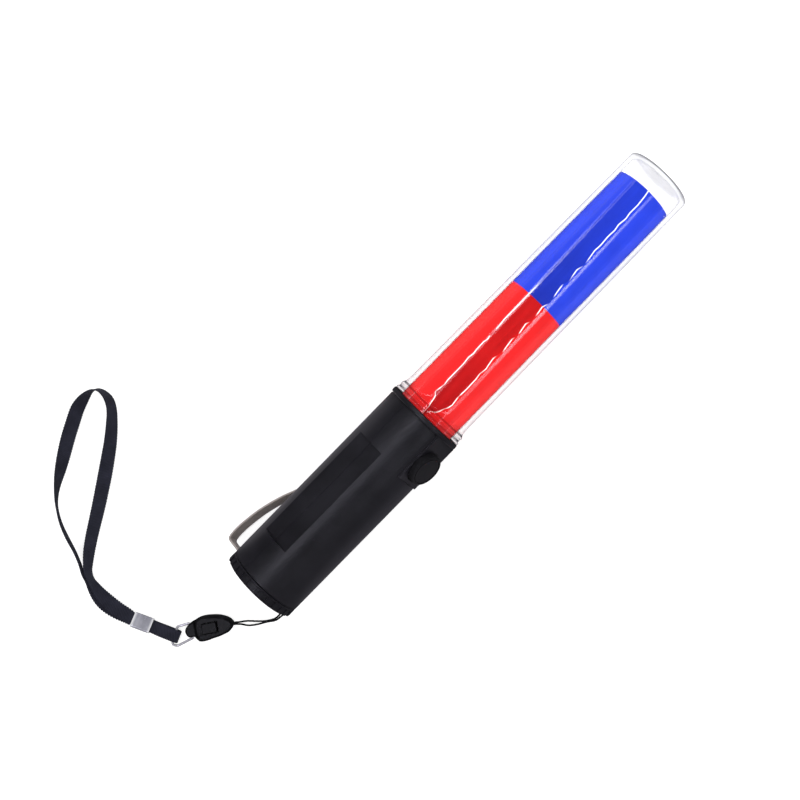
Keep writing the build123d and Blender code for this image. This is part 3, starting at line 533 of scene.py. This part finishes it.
def arc(x, r, radius, start, end, steps):
    """Points from start to end degrees on a circle about (x, r)."""
    angles = [math.radians(start + (end - start) * i / steps) for i in range(steps + 1)]
    return [(x + radius * math.cos(a), r + radius * math.sin(a)) for a in angles]


def refine(outline):
    """Adds points along the stretches in FINE_SPANS."""
    out = [outline[0]]
    for (x0, r0), (x1, r1) in zip(outline, outline[1:]):
        close = any(a <= x0 <= b and a <= x1 <= b for a, b in FINE_SPANS)
        count = max(1, int(math.hypot(x1 - x0, r1 - r0) / FINE_STEP)) if close else 1
        out += [(x0 + (x1 - x0) * i / count, r0 + (r1 - r0) * i / count)
                for i in range(1, count + 1)]
    return out


def tube_outline(x_start, x_end):
    """Closed (x, radius) outline: along the outside, then back through the bore."""
    outer = [(x_start, tube_bore(x_start)), (x_start, 17.1), (x_start + 0.3, 17.4)]
    outer += FLANGE
    outer += [(x, body_radius(x)) for x in (130.0 + 12.9 * i for i in range(10))]
    outer += [(259.0, 16.70)] + arc(TIP_X, TIP_R, TIP_ROUND, start=88, end=12, steps=9)
    outer += [(261.78, 13.2), (261.87, 11.0), (261.95, 8.0), (x_end, 4.0), (x_end, 0.0)]
    inner = [(260.2, 0.0), (260.2, 4.0), (260.16, 8.0), (260.06, 11.0), (259.9, 12.5)]
    inner += arc(257.9, 12.75, radius=1.98, start=10, end=88, steps=7)
    inner += [(x, tube_bore(x) + 0.02) for x in np.linspace(255.5, x_start + 0.5, 18)]
    return refine(outer) + refine(inner)


def rim_tone(x, r):
    """How strongly the flange's grooves and steps bend the light away, painted as grey shade."""
    if r < 17.3:
        return 0.0
    return max(strength * bell(x - line, width) for strength, line, width in RIM_LINES)


def tip_tone(x, r):
    """The same for the closed end: full where the corner turns into the end face."""
    if x < 259.25:
        return 0.0
    if r < 14.7:
        return 0.0 if x < 260.6 else min(1.0, max(0.0, (r - 11.2) / 2.0))
    turn = math.degrees(math.atan2(r - TIP_R, x - TIP_X))
    return bell(max(0.0, turn - 15.0), 62.0)


def revolve(outline, seg):
    """Turns a closed outline about the X axis. Points of radius 0 become single poles."""
    verts, rows = [], []
    for x, r in outline:
        if r < 1e-6:
            rows.append([len(verts)])
            verts.append((x * MM, 0, 0))
            continue
        rows.append(list(range(len(verts), len(verts) + seg)))
        for k in range(seg):
            angle = 2 * math.pi * k / seg
            verts.append((x * MM, r * MM * math.cos(angle), r * MM * math.sin(angle)))
    faces = []
    for a, b in zip(rows, rows[1:] + rows[:1]):
        if len(a) == 1 and len(b) == 1:
            continue
        for k in range(seg):
            k2 = (k + 1) % seg
            if len(a) == 1:
                faces.append((a[0], b[k2], b[k]))
            elif len(b) == 1:
                faces.append((a[k], a[k2], b[0]))
            else:
                faces.append((a[k], a[k2], b[k2], b[k]))
    return verts, faces


def make_tube():
    low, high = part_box("lens_tube")
    outline = tube_outline(float(low[0]) / MM, float(high[0]) / MM)
    verts, faces = revolve(outline, TUBE_SEGMENTS)
    places = [(x / MM, math.hypot(y, z) / MM) for x, y, z in verts]
    tones = {"rim": [rim_tone(*place) for place in places],
             "tip": [tip_tone(*place) for place in places]}
    tube = make("lens_tube_clear", verts, faces, "clear_acrylic", tones, crisp=38)
    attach(tube, "handle")
    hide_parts("lens_tube")


# ---------------------------------------------------------------- colour films
FILM_SEGMENTS, FILM_STEP, FILM_THICK = 360, 0.45, 0.33

# The two edges of the strip where the sheet lies against the tube, towards +Y and towards -Y:
# (x, degrees from straight up, + towards +Y)
EDGE_PLUS_Y = [
    (104, 8), (112.4, 9.5), (115, 9.5), (116.4, 11.2), (119, 12.9), (120.4, 14.7), (121.7, 19.9),
    (124, 18.2), (127, 16.8), (129, 18.2), (139, 18.3), (143, 20.1), (145.5, 18.4), (148, 19.8),
    (152.4, 20.2), (154.5, 18.4), (156.5, 20.2), (162, 20.3), (166, 22.1), (175, 22.2),
    (188, 22.6), (195, 24.3), (205, 25.6), (215, 26.4), (228, 28.2), (241, 29.6), (247, 31),
    (251, 34)]
EDGE_MINUS_Y = [
    (104, 6), (112.4, 4.5), (113.7, 2), (115, -5.5), (116.4, -8.9), (117.7, -10.6), (119, -12.3),
    (120.4, -15.7), (122.5, -17.5), (127, -15.2), (132, -16), (138, -15.5), (141, -13.8),
    (144.4, -15.7), (147, -13.6), (150, -11.8), (153, -13.4), (155, -15.9), (158, -14),
    (162, -11.8), (165, -14.6), (168.5, -12), (171, -10.2), (174, -14.2), (178, -12.6),
    (181.5, -10.2), (184.5, -14.4), (188, -12.8), (191.5, -10.2), (194.8, -8.6), (198, -12.6),
    (201, -10), (204, -8.2), (207.5, -11.8), (211, -9.8), (215.5, -6.9), (219, -7.8),
    (224, -6.4), (228, -7.2), (231, -5.1), (235, -7), (238, -5), (243, -5.2), (248, -3.2),
    (251, -1)]
# how strongly the painted white glint on the crease shows along each of those edges: (x, strength)
PAINTED_GLINT_PLUS_Y = [
    (104, 0), (112, 0.5), (114, 0.4), (116, 0.7), (119, 0.9), (121, 0.9), (122, 0.5), (124, 0.9),
    (126, 0.5), (129, 1), (139, 0.8), (141, 1), (147, 1), (154, 0.85), (155.5, 1), (157, 0.2),
    (159.5, 0.1), (161, 0.9), (168, 1), (180, 1), (186, 0.7), (192, 0.2), (200, 0), (251, 0)]
PAINTED_GLINT_MINUS_Y = [
    (104, 0), (112, 0.3), (114, 0.8), (117, 0.8), (119, 0.5), (121, 1), (126, 0.9), (127.5, 0.4),
    (129, 1), (138, 1), (142, 0.6), (144, 0.9), (147, 1), (150, 0.9), (152, 0.3), (154.5, 0.2),
    (157, 1), (161, 1), (163.5, 0.3), (165.2, 0.15), (167, 1), (171, 0.9), (173.5, 0.15),
    (176, 0.1), (178.5, 1), (180.5, 1), (183, 0.8), (185.5, 0.1), (188, 0.3), (190, 1),
    (193.5, 1), (196, 0.1), (199.5, 0.5), (202, 1), (204.5, 0.9), (208, 0.15), (211, 0.8),
    (214, 1), (251, 1)]
# how strong the painted shade is, a deeper colour where the sheet lies against the tube: (x,
# strength)
STRIP_SHADE_DEPTH = [
    (104, 1.0), (111, 1.0), (116, 1.0), (122, 0.95), (135, 0.80), (150, 0.50), (165, 0.75),
    (181.9, 0.85), (182.0, 1.0), (200, 0.75), (225, 0.4), (251, 0.25)]


def soft_step(degrees):
    return 1 / (1 + np.exp(-degrees / 0.5))


def make_film(node, mat):
    low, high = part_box(node)
    x_start, x_end = low[0] / MM, high[0] / MM
    seg, rows = FILM_SEGMENTS, int((x_end - x_start) / FILM_STEP)
    x, angle = np.meshgrid(np.linspace(x_start, x_end, rows),
                           np.radians(np.arange(seg) * 360.0 / seg), indexing="ij")
    degrees = np.degrees(angle)
    degrees = np.where(degrees > 180, degrees - 360, degrees)
    plus = table_at(EDGE_PLUS_Y, x)
    minus = table_at(EDGE_MINUS_Y, x)
    inside = soft_step(plus - degrees) * soft_step(degrees - minus)
    crease_plus = bell(degrees - plus, 1.15)
    crease_minus = bell(degrees - minus, 1.15)

    # away from the strip the sheet stands a little off the tube, in slow waves
    wave = 0.06 * np.sin(x * 0.21 + 2.3 * np.sin(angle * 2)) * np.sin(angle * 3 + x * 0.05)
    wave += 0.03 * np.sin(x * 0.47 + angle * 5)
    gap = 0.18 * (1 - inside) + np.abs(wave) * (1 - inside) * 0.8
    radius = tube_bore(x) - 0.12 - gap - 0.10 * (crease_plus + crease_minus)
    # the sheet's overlap seam runs along the underside
    radius -= 0.12 * bell(np.abs(degrees) - 176, 1.2)

    verts = []
    for r in (radius * MM, (radius - FILM_THICK) * MM):
        verts += list(zip((x * MM).ravel(), (r * np.sin(angle)).ravel(),
                          (r * np.cos(angle)).ravel()))
    layer = rows * seg
    faces = ring_sides(rows, seg)
    faces += [face[::-1] for face in ring_sides(rows, seg, first=layer)]
    for row in (0, rows - 1):
        for k in range(seg):
            a, b = row * seg + k, row * seg + (k + 1) % seg
            face = (a, layer + a, layer + b, b)
            faces.append(face if row == 0 else face[::-1])

    # painted shade mask: the strip where the sheet lies against the tube, scaled along x
    patch = inside * table_at(STRIP_SHADE_DEPTH, x)
    # painted highlight mask: where the white glints are painted along the creases
    crease = np.clip(crease_minus * table_at(PAINTED_GLINT_MINUS_Y, x)
                     + crease_plus * table_at(PAINTED_GLINT_PLUS_Y, x), 0, 1)
    zeros = np.zeros(layer)
    sheet = make(node + "_sheet", verts, faces, mat, crisp=50,
                 attrs={"patch": np.r_[patch.ravel(), zeros],
                        "crease": np.r_[crease.ravel(), zeros]})
    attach(sheet, "handle")
    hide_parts(node)


# ---------------------------------------------------------------- wrist strap
# The ferrule's far and near ends, seen from the bar, its width direction and its normal
FERRULE_FAR, FERRULE_NEAR = Vector((-56.05, 31.65, -17.1)), Vector((-52.15, 22.95, -17.1))
FERRULE_WIDE, FERRULE_UP = Vector((-0.857, -0.384, 0.342)), Vector((0.312, 0.14, 0.939))
# The bar the ribbon turns round, the ribbon's width direction there, and the way to the bend
BAR = Vector((-47.9, 12.4, -17.5))
BAR_WIDE, BAR_AHEAD = Vector((-0.92, -0.39, 0)), Vector((0.39, -0.92, 0))
WIDTH_FERRULE, WIDTH_BAR, WIDTH_EXIT, WIDTH = 6.3, 6.0, 7.0, 7.2
RIBBON_ROWS = 2501

# (place along BAR_AHEAD, height off the bar, turn from FERRULE_WIDE to BAR_WIDE)
BAR_LEGS = ((-7.5, 0.75, 0.4), (-5.0, 1.05, 0.75), (-2.0, 1.25, 1.0), (0.9, 1.25, 1.0))
# the loop from the ferrule and back: the ribbon's (lower edge, upper edge)
STRAND = [
    ((-53.6, 36.0, -19.0), (-60.3, 34.2, -17.0)), ((-54.6, 41.0, -19.0), (-61.4, 39.2, -17.2)),
    ((-55.3, 46.0, -19.1), (-61.6, 44.6, -16.2)), ((-55.7, 50.7, -19.2), (-60.8, 49.4, -14.4)),
    ((-55.8, 54.5, -19.2), (-59.2, 54.2, -13.0)), ((-55.6, 58.5, -19.2), (-57.0, 58.9, -12.4)),
    ((-53.6, 61.8, -19.2), (-54.9, 63.6, -12.6)), ((-50.6, 64.0, -19.2), (-52.3, 66.7, -12.9)),
    ((-45.9, 67.1, -19.2), (-48.0, 71.0, -13.6)), ((-40.1, 70.8, -19.2), (-42.2, 75.2, -14.2)),
    ((-33.9, 74.4, -19.2), (-36.0, 79.2, -14.6)), ((-27.1, 78.3, -19.2), (-29.8, 83.3, -15.1)),
    ((-20.5, 82.4, -19.2), (-23.6, 87.4, -15.5)), ((-14.2, 86.4, -19.2), (-17.5, 91.5, -15.8)),
    ((-7.5, 91.0, -19.2), (-11.0, 95.6, -15.2)), ((-1.3, 95.7, -19.2), (-4.6, 99.6, -14.4)),
    ((4.7, 101.1, -19.2), (1.5, 103.9, -13.7)), ((10.1, 107.0, -19.2), (7.2, 108.6, -13.1)),
    ((12.4, 111.5, -19.2), (9.6, 112.0, -12.9)), ((12.4, 115.8, -19.2), (10.8, 115.0, -12.6)),
    ((11.2, 118.8, -19.2), (10.9, 118.0, -12.1)), ((9.5, 120.2, -19.2), (9.8, 119.9, -12.1)),
    ((6.9, 120.3, -19.2), (7.4, 121.6, -12.2)), ((3.4, 119.0, -19.2), (2.9, 122.8, -13.2)),
    ((-2.0, 116.9, -19.2), (-3.6, 122.5, -15.2)), ((-8.2, 113.8, -19.2), (-10.6, 119.6, -15.9)),
    ((-15.0, 110.3, -19.2), (-17.3, 116.2, -15.7)),
    ((-22.0, 106.6, -19.2), (-23.5, 112.0, -14.8)),
    ((-28.9, 103.2, -19.2), (-29.3, 107.4, -13.6)),
    ((-34.8, 100.6, -19.2), (-34.1, 102.9, -12.7)), ((-39.6, 97.8, -19.2), (-38.7, 98.2, -12.2)),
    ((-43.7, 94.0, -19.2), (-42.3, 93.7, -12.3)), ((-47.4, 87.8, -19.2), (-46.4, 87.5, -12.3)),
    ((-50.1, 80.7, -19.2), (-49.4, 80.5, -12.2)), ((-52.5, 73.6, -19.2), (-51.6, 73.3, -12.2)),
    ((-54.9, 68.0, -19.2), (-53.9, 67.8, -12.2)), ((-56.9, 63.5, -19.2), (-56.4, 63.3, -12.2))]
# the returning layer under the first stations: (station, sideways slip)
UNDER_LAYER = ((5, 0.5), (4, 1.1), (3, 1.5), (2, 1.5), (1, 1.1), (0, 0.4))
DOUBLED = len(UNDER_LAYER)
# the ribbon's columns on one side of its middle, as fractions of the half width
COLUMNS = (0.15, 0.35, 0.55, 0.70, 0.80, 0.86, 0.90, 0.93, 0.965, 1.0)


def ferrule_station(along, side):
    middle = FERRULE_FAR.lerp(FERRULE_NEAR, along) + FERRULE_UP * (0.45 * side)
    return middle, FERRULE_WIDE, WIDTH_FERRULE


def leg_station(along, height, turn, side):
    middle = BAR + BAR_AHEAD * along + Vector((0, 0, side * height))
    return middle, FERRULE_WIDE.lerp(BAR_WIDE, turn).normalized(), WIDTH_BAR


def bend_station(degrees):
    angle = math.radians(degrees)
    middle = BAR + BAR_AHEAD * (1.25 + 1.3 * math.cos(angle))
    return middle + Vector((0, 0, 1.25 * math.sin(angle))), BAR_WIDE, WIDTH_BAR


def strand_station(i, layer=0.0, slip=0.0):
    """Station i of the strand, moved by layer along its normal and by slip across it."""
    low, up = Vector(STRAND[i][0]), Vector(STRAND[i][1])
    middle, across = (low + up) * 0.5, (up - low).normalized()
    if layer:
        ahead, back = Vector(STRAND[i + 1][0]), Vector(STRAND[max(i - 1, 0)][0])
        normal = (up - low).cross(ahead - back).normalized()
        if normal.z < 0:
            normal = -normal
        middle = middle + normal * layer + across * slip
    return middle, across, WIDTH_EXIT if i == 0 else WIDTH


def strap_stations():
    """(middle, width direction, width): round the bar, round the loop, back to the ferrule."""
    stations = [ferrule_station(along, side=-1) for along in (0.45, 1.0)]
    stations += [leg_station(*leg, side=-1) for leg in BAR_LEGS]
    stations += [bend_station(degrees) for degrees in (-60, -25, 0, 25, 60)]
    stations += [leg_station(*leg, side=1) for leg in reversed(BAR_LEGS)]
    stations += [ferrule_station(along, side=1) for along in (1.0, 0.0)]
    stations += [strand_station(i) for i in range(len(STRAND))]
    stations += [strand_station(i, layer=-0.92, slip=slip) for i, slip in UNDER_LAYER]
    stations += [ferrule_station(along, side=-1) for along in (0.0, 0.4)]
    return stations


def make_strap():
    """Woven ribbon: cross ribs, selvedge cords and small picot loops along both edges."""
    path, _ = smooth_path([[*middle, *across, width]
                           for middle, across, width in strap_stations()], RIBBON_ROWS)
    travelled = distances(path)
    centre = path[:, :3]
    ahead = tangents(centre)
    across = unit(path[:, 3:6])
    across = unit(across - ahead * np.sum(across * ahead, axis=1, keepdims=True))
    normal = np.cross(across, ahead)
    half = path[:, 6] / 2
    # inside the ferrule the edges are squeezed flat
    free = np.clip((path[:, 6] - 6.2) / 0.6, 0, 1)
    picot = 0.5 + 0.5 * np.cos(2 * math.pi * travelled / 1.3)
    columns = [-c for c in reversed(COLUMNS)] + [0.0, *COLUMNS]

    verts, sides = [], []
    for face_side, fractions in ((1, columns), (-1, columns[::-1])):
        for fraction in fractions:
            out = abs(fraction)
            edge = out > 0.975
            # picot loops push the outermost columns in and out
            loop = 0.34 * free * (1 - picot) * (1 if edge else 0.6)
            side = fraction * (half - loop if out > 0.92 else half)
            # a thicker selvedge cord sits just inside the thin edge
            thick = 0.29 + 0.085 * bell(out - 0.84, 0.05)
            thick -= 0.15 if edge else 0.04 if out > 0.95 else 0
            rib = 0.030 * np.cos(2 * math.pi * (travelled + RIB_SLANT * side) / RIB_PITCH)
            rib *= 0.3 if edge else 1.0
            verts.append(centre + across * side[:, None]
                         + normal * (face_side * (thick + rib))[:, None])
            sides.append(side)
    ring = len(verts)
    verts = np.array(verts).transpose(1, 0, 2).reshape(-1, 3)
    strap = make("strap_ribbon", verts * MM, swept_faces(len(path), ring), "ribbon_navy",
                 {"along": np.repeat(travelled, ring), "side": np.array(sides).T.ravel()},
                 crisp=60)
    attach(strap, "hand_strap")
    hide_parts("wrist_strap")


# ---------------------------------------------------------------- cord
CORD_RADIUS, CORD_TWIST, CORD_PLIES = 0.46, 1.9, 3
CORD_ROWS, CORD_RING = 620, 30
EYE_ANGLE = math.radians(334.0)          # the cap's eye, from SIDE_WAY towards CLIP_WAY
EYE_WAY = SIDE_WAY * math.cos(EYE_ANGLE) + CLIP_WAY * math.sin(EYE_ANGLE)
PLUG = Vector((-42.4, 9.4, -16.3))
PLUG_AXIS = Vector((0.828, -0.5605, 0)).normalized()
PLUG_SIDE = Vector((0, 0, 1)).cross(PLUG_AXIS)
NOSE = PLUG + PLUG_AXIS * 21.6 + PLUG_SIDE * -0.3 + Vector((0, 0, -0.2))

CORD_OUT = [(-21.7, -5.2, -17.4), (-18.9, -7.6, -18.5), (-15.6, -11.1, -18.5),
            (-12.6, -14.0, -18.6), (-8.8, -16.2, -18.1), (-4.1, -16.3, -14.4)]
# through the eye: (x, distance along EYE_WAY)
CORD_EYE = [(-2.3, 18.2), (-0.8, 16.25), (1.0, 15.6), (2.2, 17.0), (1.6, 19.9), (-1.2, 20.6)]
CORD_BACK = [(-4.7, -17.5, -14.8), (-9.2, -17.0, -18.6), (-12.9, -14.6, -19.3),
             (-16.4, -12.5, -19.2), (-19.9, -9.7, -18.9), (-22.0, -6.4, -17.8)]


def make_cord():
    """Three plies twisted together, as one closed skin with grooves between the plies."""
    points = [NOSE + Vector((0.2, 0.3, 0.0)), *CORD_OUT]
    points += [AXIS * x + EYE_WAY * reach for x, reach in CORD_EYE]
    points += [*CORD_BACK, NOSE + Vector((-0.1, -0.45, -0.1))]
    path, length = smooth_path([list(point) for point in points], CORD_ROWS)
    travelled = np.linspace(0, length, CORD_ROWS)
    ahead = tangents(path)
    # one cross direction is carried along the path so that the section never spins
    across = np.cross(ahead[0], [0, 0, 1.0])
    carried = []
    for direction in ahead:
        across = across - direction * np.dot(across, direction)
        across /= np.linalg.norm(across)
        carried.append(across)
    across = np.array(carried)
    normal = np.cross(ahead, across)

    verts, along = [], []
    for k in range(CORD_RING):
        angle = 2 * math.pi * k / CORD_RING
        phase = angle * CORD_PLIES - 2 * math.pi * travelled / CORD_TWIST
        radius = CORD_RADIUS * (0.88 + 0.11 * np.abs(np.cos(phase / 2)))
        verts.append(path + across * (radius * math.cos(angle))[:, None]
                     + normal * (radius * math.sin(angle))[:, None])
        along.append(travelled + angle * CORD_TWIST / (2 * math.pi) * 0.5)
    verts = np.array(verts).transpose(1, 0, 2).reshape(-1, 3)
    cord = make("lanyard_cord", verts * MM, swept_faces(CORD_ROWS, CORD_RING), "cord_black",
                {"along": np.array(along).T.ravel()})
    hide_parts("cord_loop")
    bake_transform(cord)


# ---------------------------------------------------------------- belt clip
CLIP_WIDE, CLIP_THICK, CLIP_EDGE, CLIP_END = 6.0, 1.0, 0.3, 0.9   # last two: rounding radii
CLIP_ROWS = 420
CLIP_SEAT = 18.9       # height of the strip where it lies on the handle
# (x, height above the axis along CLIP_WAY)
CLIP_PATH = [
    (67.0, CLIP_SEAT), (62.0, CLIP_SEAT), (57.0, CLIP_SEAT), (53.0, CLIP_SEAT), (50.0, 18.95),
    (46.5, 19.65), (42.7, 21.15), (36.6, 23.95), (30.1, 26.3), (24.1, 28.0), (18.4, 29.1),
    (12.0, 29.9), (8.0, 29.95), (5.6, 29.6), (4.75, 29.25), (4.3, 28.6), (4.12, 27.6),
    (4.1, 24.0), (4.1, 20.4)]


def make_clip():
    """Sheet-metal strip with rounded edges, bent along CLIP_PATH."""
    path, length = smooth_path([[x, height, 0.0] for x, height in CLIP_PATH], CLIP_ROWS)
    section = []
    for quarter, (sx, sy) in enumerate(((1, 1), (-1, 1), (-1, -1), (1, -1))):
        for k in range(5):
            angle = math.radians(90 * quarter + 22.5 * k)
            section.append((sx * (CLIP_WIDE / 2 - CLIP_EDGE) + CLIP_EDGE * math.cos(angle),
                            sy * (CLIP_THICK / 2 - CLIP_EDGE) + CLIP_EDGE * math.sin(angle)))
    verts = []
    for i, ((x, height, _), ahead) in enumerate(zip(path, tangents(path))):
        # the two free ends are rounded off across the corners
        from_end = min(i, CLIP_ROWS - 1 - i) * length / (CLIP_ROWS - 1)
        half = CLIP_WIDE / 2
        if from_end < CLIP_END:
            half -= CLIP_END - math.sqrt(max(0.0, CLIP_END ** 2 - (CLIP_END - from_end) ** 2))
        for wide, thick in section:
            wide *= half / (CLIP_WIDE / 2)
            point = (AXIS * (x - ahead[1] * thick) + CLIP_WAY * (height + ahead[0] * thick)
                     + SIDE_WAY * wide)
            verts.append(tuple(point * MM))
    clip = make("clip_strip", verts, swept_faces(CLIP_ROWS, len(section)), "clip_steel", {},
                crisp=40)
    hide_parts("belt_clip")
    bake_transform(clip)


# ---------------------------------------------------------------- floor, light, camera
FLOOR_HALF = 2.2
WORLD_SOFT, WORLD_GLOSS, LAMP = 1.0, 0.02, 9.0   # soft light; reflected room and lamps

# brightness along the lamps, over lean -0.25 to 0.25: (position, level)
LAMP_BANDS_PLUS_Y = [
    (0.0, 0.03), (0.05, 0.08), (0.10, 0.85), (0.14, 1.0), (0.40, 1.0), (0.45, 0.30),
    (0.53, 0.13), (0.60, 0.24), (0.665, 0.55), (0.70, 0.47), (0.78, 0.27), (0.88, 0.09)]
LAMP_BANDS_MINUS_Y = [
    (0.0, 0.03), (0.42, 0.06), (0.52, 0.30), (0.62, 0.65), (0.80, 0.65), (0.92, 0.3)]
# fall-off of the dim sheets away from their lamps: (position, level)
SHEET_PLUS_Y = [(0.0, 0), (0.06, 0.10), (0.55, 0.07), (0.9, 0.02), (1.0, 0)]
SHEET_MINUS_Y = [(0.0, 0), (0.08, 0.11), (0.35, 0.07), (0.6, 0.02), (1.0, 0)]


def floor_material():
    """Pale floor that glows to the camera and shows dark in reflections."""
    m = Mat("studio_floor")
    mottle = m.noise(scale=35.0, detail=2.0)
    ray = m.node("ShaderNodeLightPath")
    pale = m.mix(m.remap(mottle, src=(0.3, 0.7)), (0.74, 0.74, 0.74), (0.76, 0.76, 0.76))
    x = m.node("ShaderNodeSeparateXYZ", Vector=m.coord()).outputs[0]
    beside_handle = m.mul(m.remap(x, src=(-0.002, 0.006)),
                          m.remap(x, src=(0.100, 0.109), to=(1.0, 0.0)))
    y = m.node("ShaderNodeSeparateXYZ", Vector=m.coord()).outputs[1]
    halves = m.mix(m.remap(y, src=(-0.01, 0.01)), (0.22, 0.21, 0.24), (0.42, 0.40, 0.44))
    reflected = m.mix(beside_handle, (0.06, 0.06, 0.06), halves)
    m.principled(Base__Color=m.mix(ray.outputs["Is Glossy Ray"], pale, reflected),
                 Roughness=0.9, Specular__IOR__Level=0.0, Emission__Color=(1.0, 1.0, 1.0),
                 Emission__Strength=m.remap(ray.outputs["Is Camera Ray"], to=(0.0, 0.62)))
    return m.material


def make_floor():
    material = floor_material()
    mesh = bpy.data.meshes.new("studio_floor")
    corners = [(sx * FLOOR_HALF, sy * FLOOR_HALF, FLOOR_Z)
               for sx, sy in ((-1, -1), (1, -1), (1, 1), (-1, 1))]
    mesh.from_pydata(corners, [], [(0, 1, 2, 3)])
    mesh.materials.append(material)
    floor = bpy.data.objects.new("studio_floor", mesh)
    scene.collection.objects.link(floor)


def make_world():
    """A white room for the eye and for soft light, a dark one with lamps for reflections.

    Two long lamps run beside the baton, each with a dim sheet on its outer side, and a thin
    third one lies low towards -Y.
    """
    world = bpy.data.worlds.new("studio")
    world.use_nodes = True
    scene.world = world
    w = Nodes(world.node_tree)
    generated = w.node("ShaderNodeTexCoord").outputs["Generated"]
    x, y, z = w.node("ShaderNodeSeparateXYZ", Vector=generated).outputs
    flat = w.math("SQRT", w.add(w.mul(y, y), w.mul(z, z)))
    lean = w.math("DIVIDE", x, w.math("MAXIMUM", flat, 0.001))      # slope towards +X
    around = w.mul(w.math("ARCTAN2", y, z), 180.0 / math.pi)        # degrees from up to +Y

    def lamp(centre, slope, half, level):
        """Line of light at centre degrees, shifted by slope with the lean; also the offset."""
        middle = w.add(w.mul(lean, slope), centre)
        offset = w.math("DIVIDE", w.math("SUBTRACT", around, middle), half)
        glow = w.math("EXPONENT", w.mul(w.mul(offset, offset), -1.0))
        return w.mul(glow, level), offset

    def banded(light, bands):
        return w.mul(light, w.ramp(w.remap(lean, src=(-0.25, 0.25)), bands))

    plus, plus_offset = lamp(centre=27.0, slope=135.0, half=2.8, level=1.8)
    plus = banded(plus, LAMP_BANDS_PLUS_Y)
    minus, minus_offset = lamp(centre=-43.3, slope=95.0, half=3.2, level=1.0)
    minus = banded(minus, LAMP_BANDS_MINUS_Y)
    thin, _ = lamp(centre=-101.0, slope=0.0, half=3.2, level=0.9)
    sheet_plus = w.ramp(w.remap(plus_offset, src=(0.0, 24.0)), SHEET_PLUS_Y)
    sheet_minus = w.ramp(w.remap(minus_offset, src=(0.0, -20.0)), SHEET_MINUS_Y)
    gloss = w.add(w.mul(w.add(plus, w.add(minus, thin)), LAMP), w.add(sheet_plus, sheet_minus))
    gloss = w.add(gloss, WORLD_GLOSS)

    ray = w.node("ShaderNodeLightPath")
    glossy = ray.outputs["Is Glossy Ray"]
    room = w.remap(glossy, to=(WORLD_SOFT, gloss))
    background = w.tree.nodes["Background"]
    w.put(background, "Strength", w.remap(ray.outputs["Is Camera Ray"], to=(room, 1.0)))
    w.put(background, "Color", w.mix(glossy, (1.0, 1.0, 1.0), (0.96, 0.94, 1.10)))


def add_posed(name, data, axes, place):
    """Adds a light or camera with the given x, y and z axes at a place, as staging."""
    ob = bpy.data.objects.new(name, data)
    pose = Matrix(axes).transposed().to_4x4()
    pose.translation = place
    ob.matrix_world = pose
    scene.collection.objects.link(ob)
    return ob


def make_soft_box():
    """Long soft box above the baton, on the +Y side and facing its axis."""
    light = bpy.data.lights.new("box_left", "AREA")
    light.shape = "RECTANGLE"
    light.size, light.size_y = 1.4, 0.8
    light.energy = 3.0
    angle, distance = math.radians(30), 1.4         # from straight up, towards +Y
    outward = Vector((0, math.sin(angle), math.cos(angle)))
    place = Vector((0.105, 0, 0)) + outward * distance
    box = add_posed("box_left", light, (AXIS, outward.cross(AXIS), outward), place)
    box.visible_glossy = False


def make_camera():
    camera = bpy.data.cameras.new("photo_camera")
    camera.lens, camera.sensor_width = 61.07, 36.0
    camera.clip_start, camera.clip_end = 0.01, 20
    # looks down, tilted a little towards -X, then turned about its line of sight
    tilt, turn = math.radians(2.2), math.radians(44.328)
    level = Vector((0, -1, 0))
    forward = Vector((math.cos(tilt), 0, -math.sin(tilt)))
    sight = Vector((-math.sin(tilt), 0, -math.cos(tilt)))
    right = level * math.cos(turn) + forward * math.sin(turn)
    up = -level * math.sin(turn) + forward * math.cos(turn)
    ob = add_posed("photo_camera", camera, (right, up, -sight),
                   Vector((0.13113, 0.01367, 0.61885)))
    scene.camera = ob


make_materials()
paint_cad_pieces()
make_tube()
make_film("red_film", "film_red")
make_film("blue_film", "film_blue")
make_strap()
make_cord()
make_clip()
make_floor()
make_world()
make_soft_box()
make_camera()
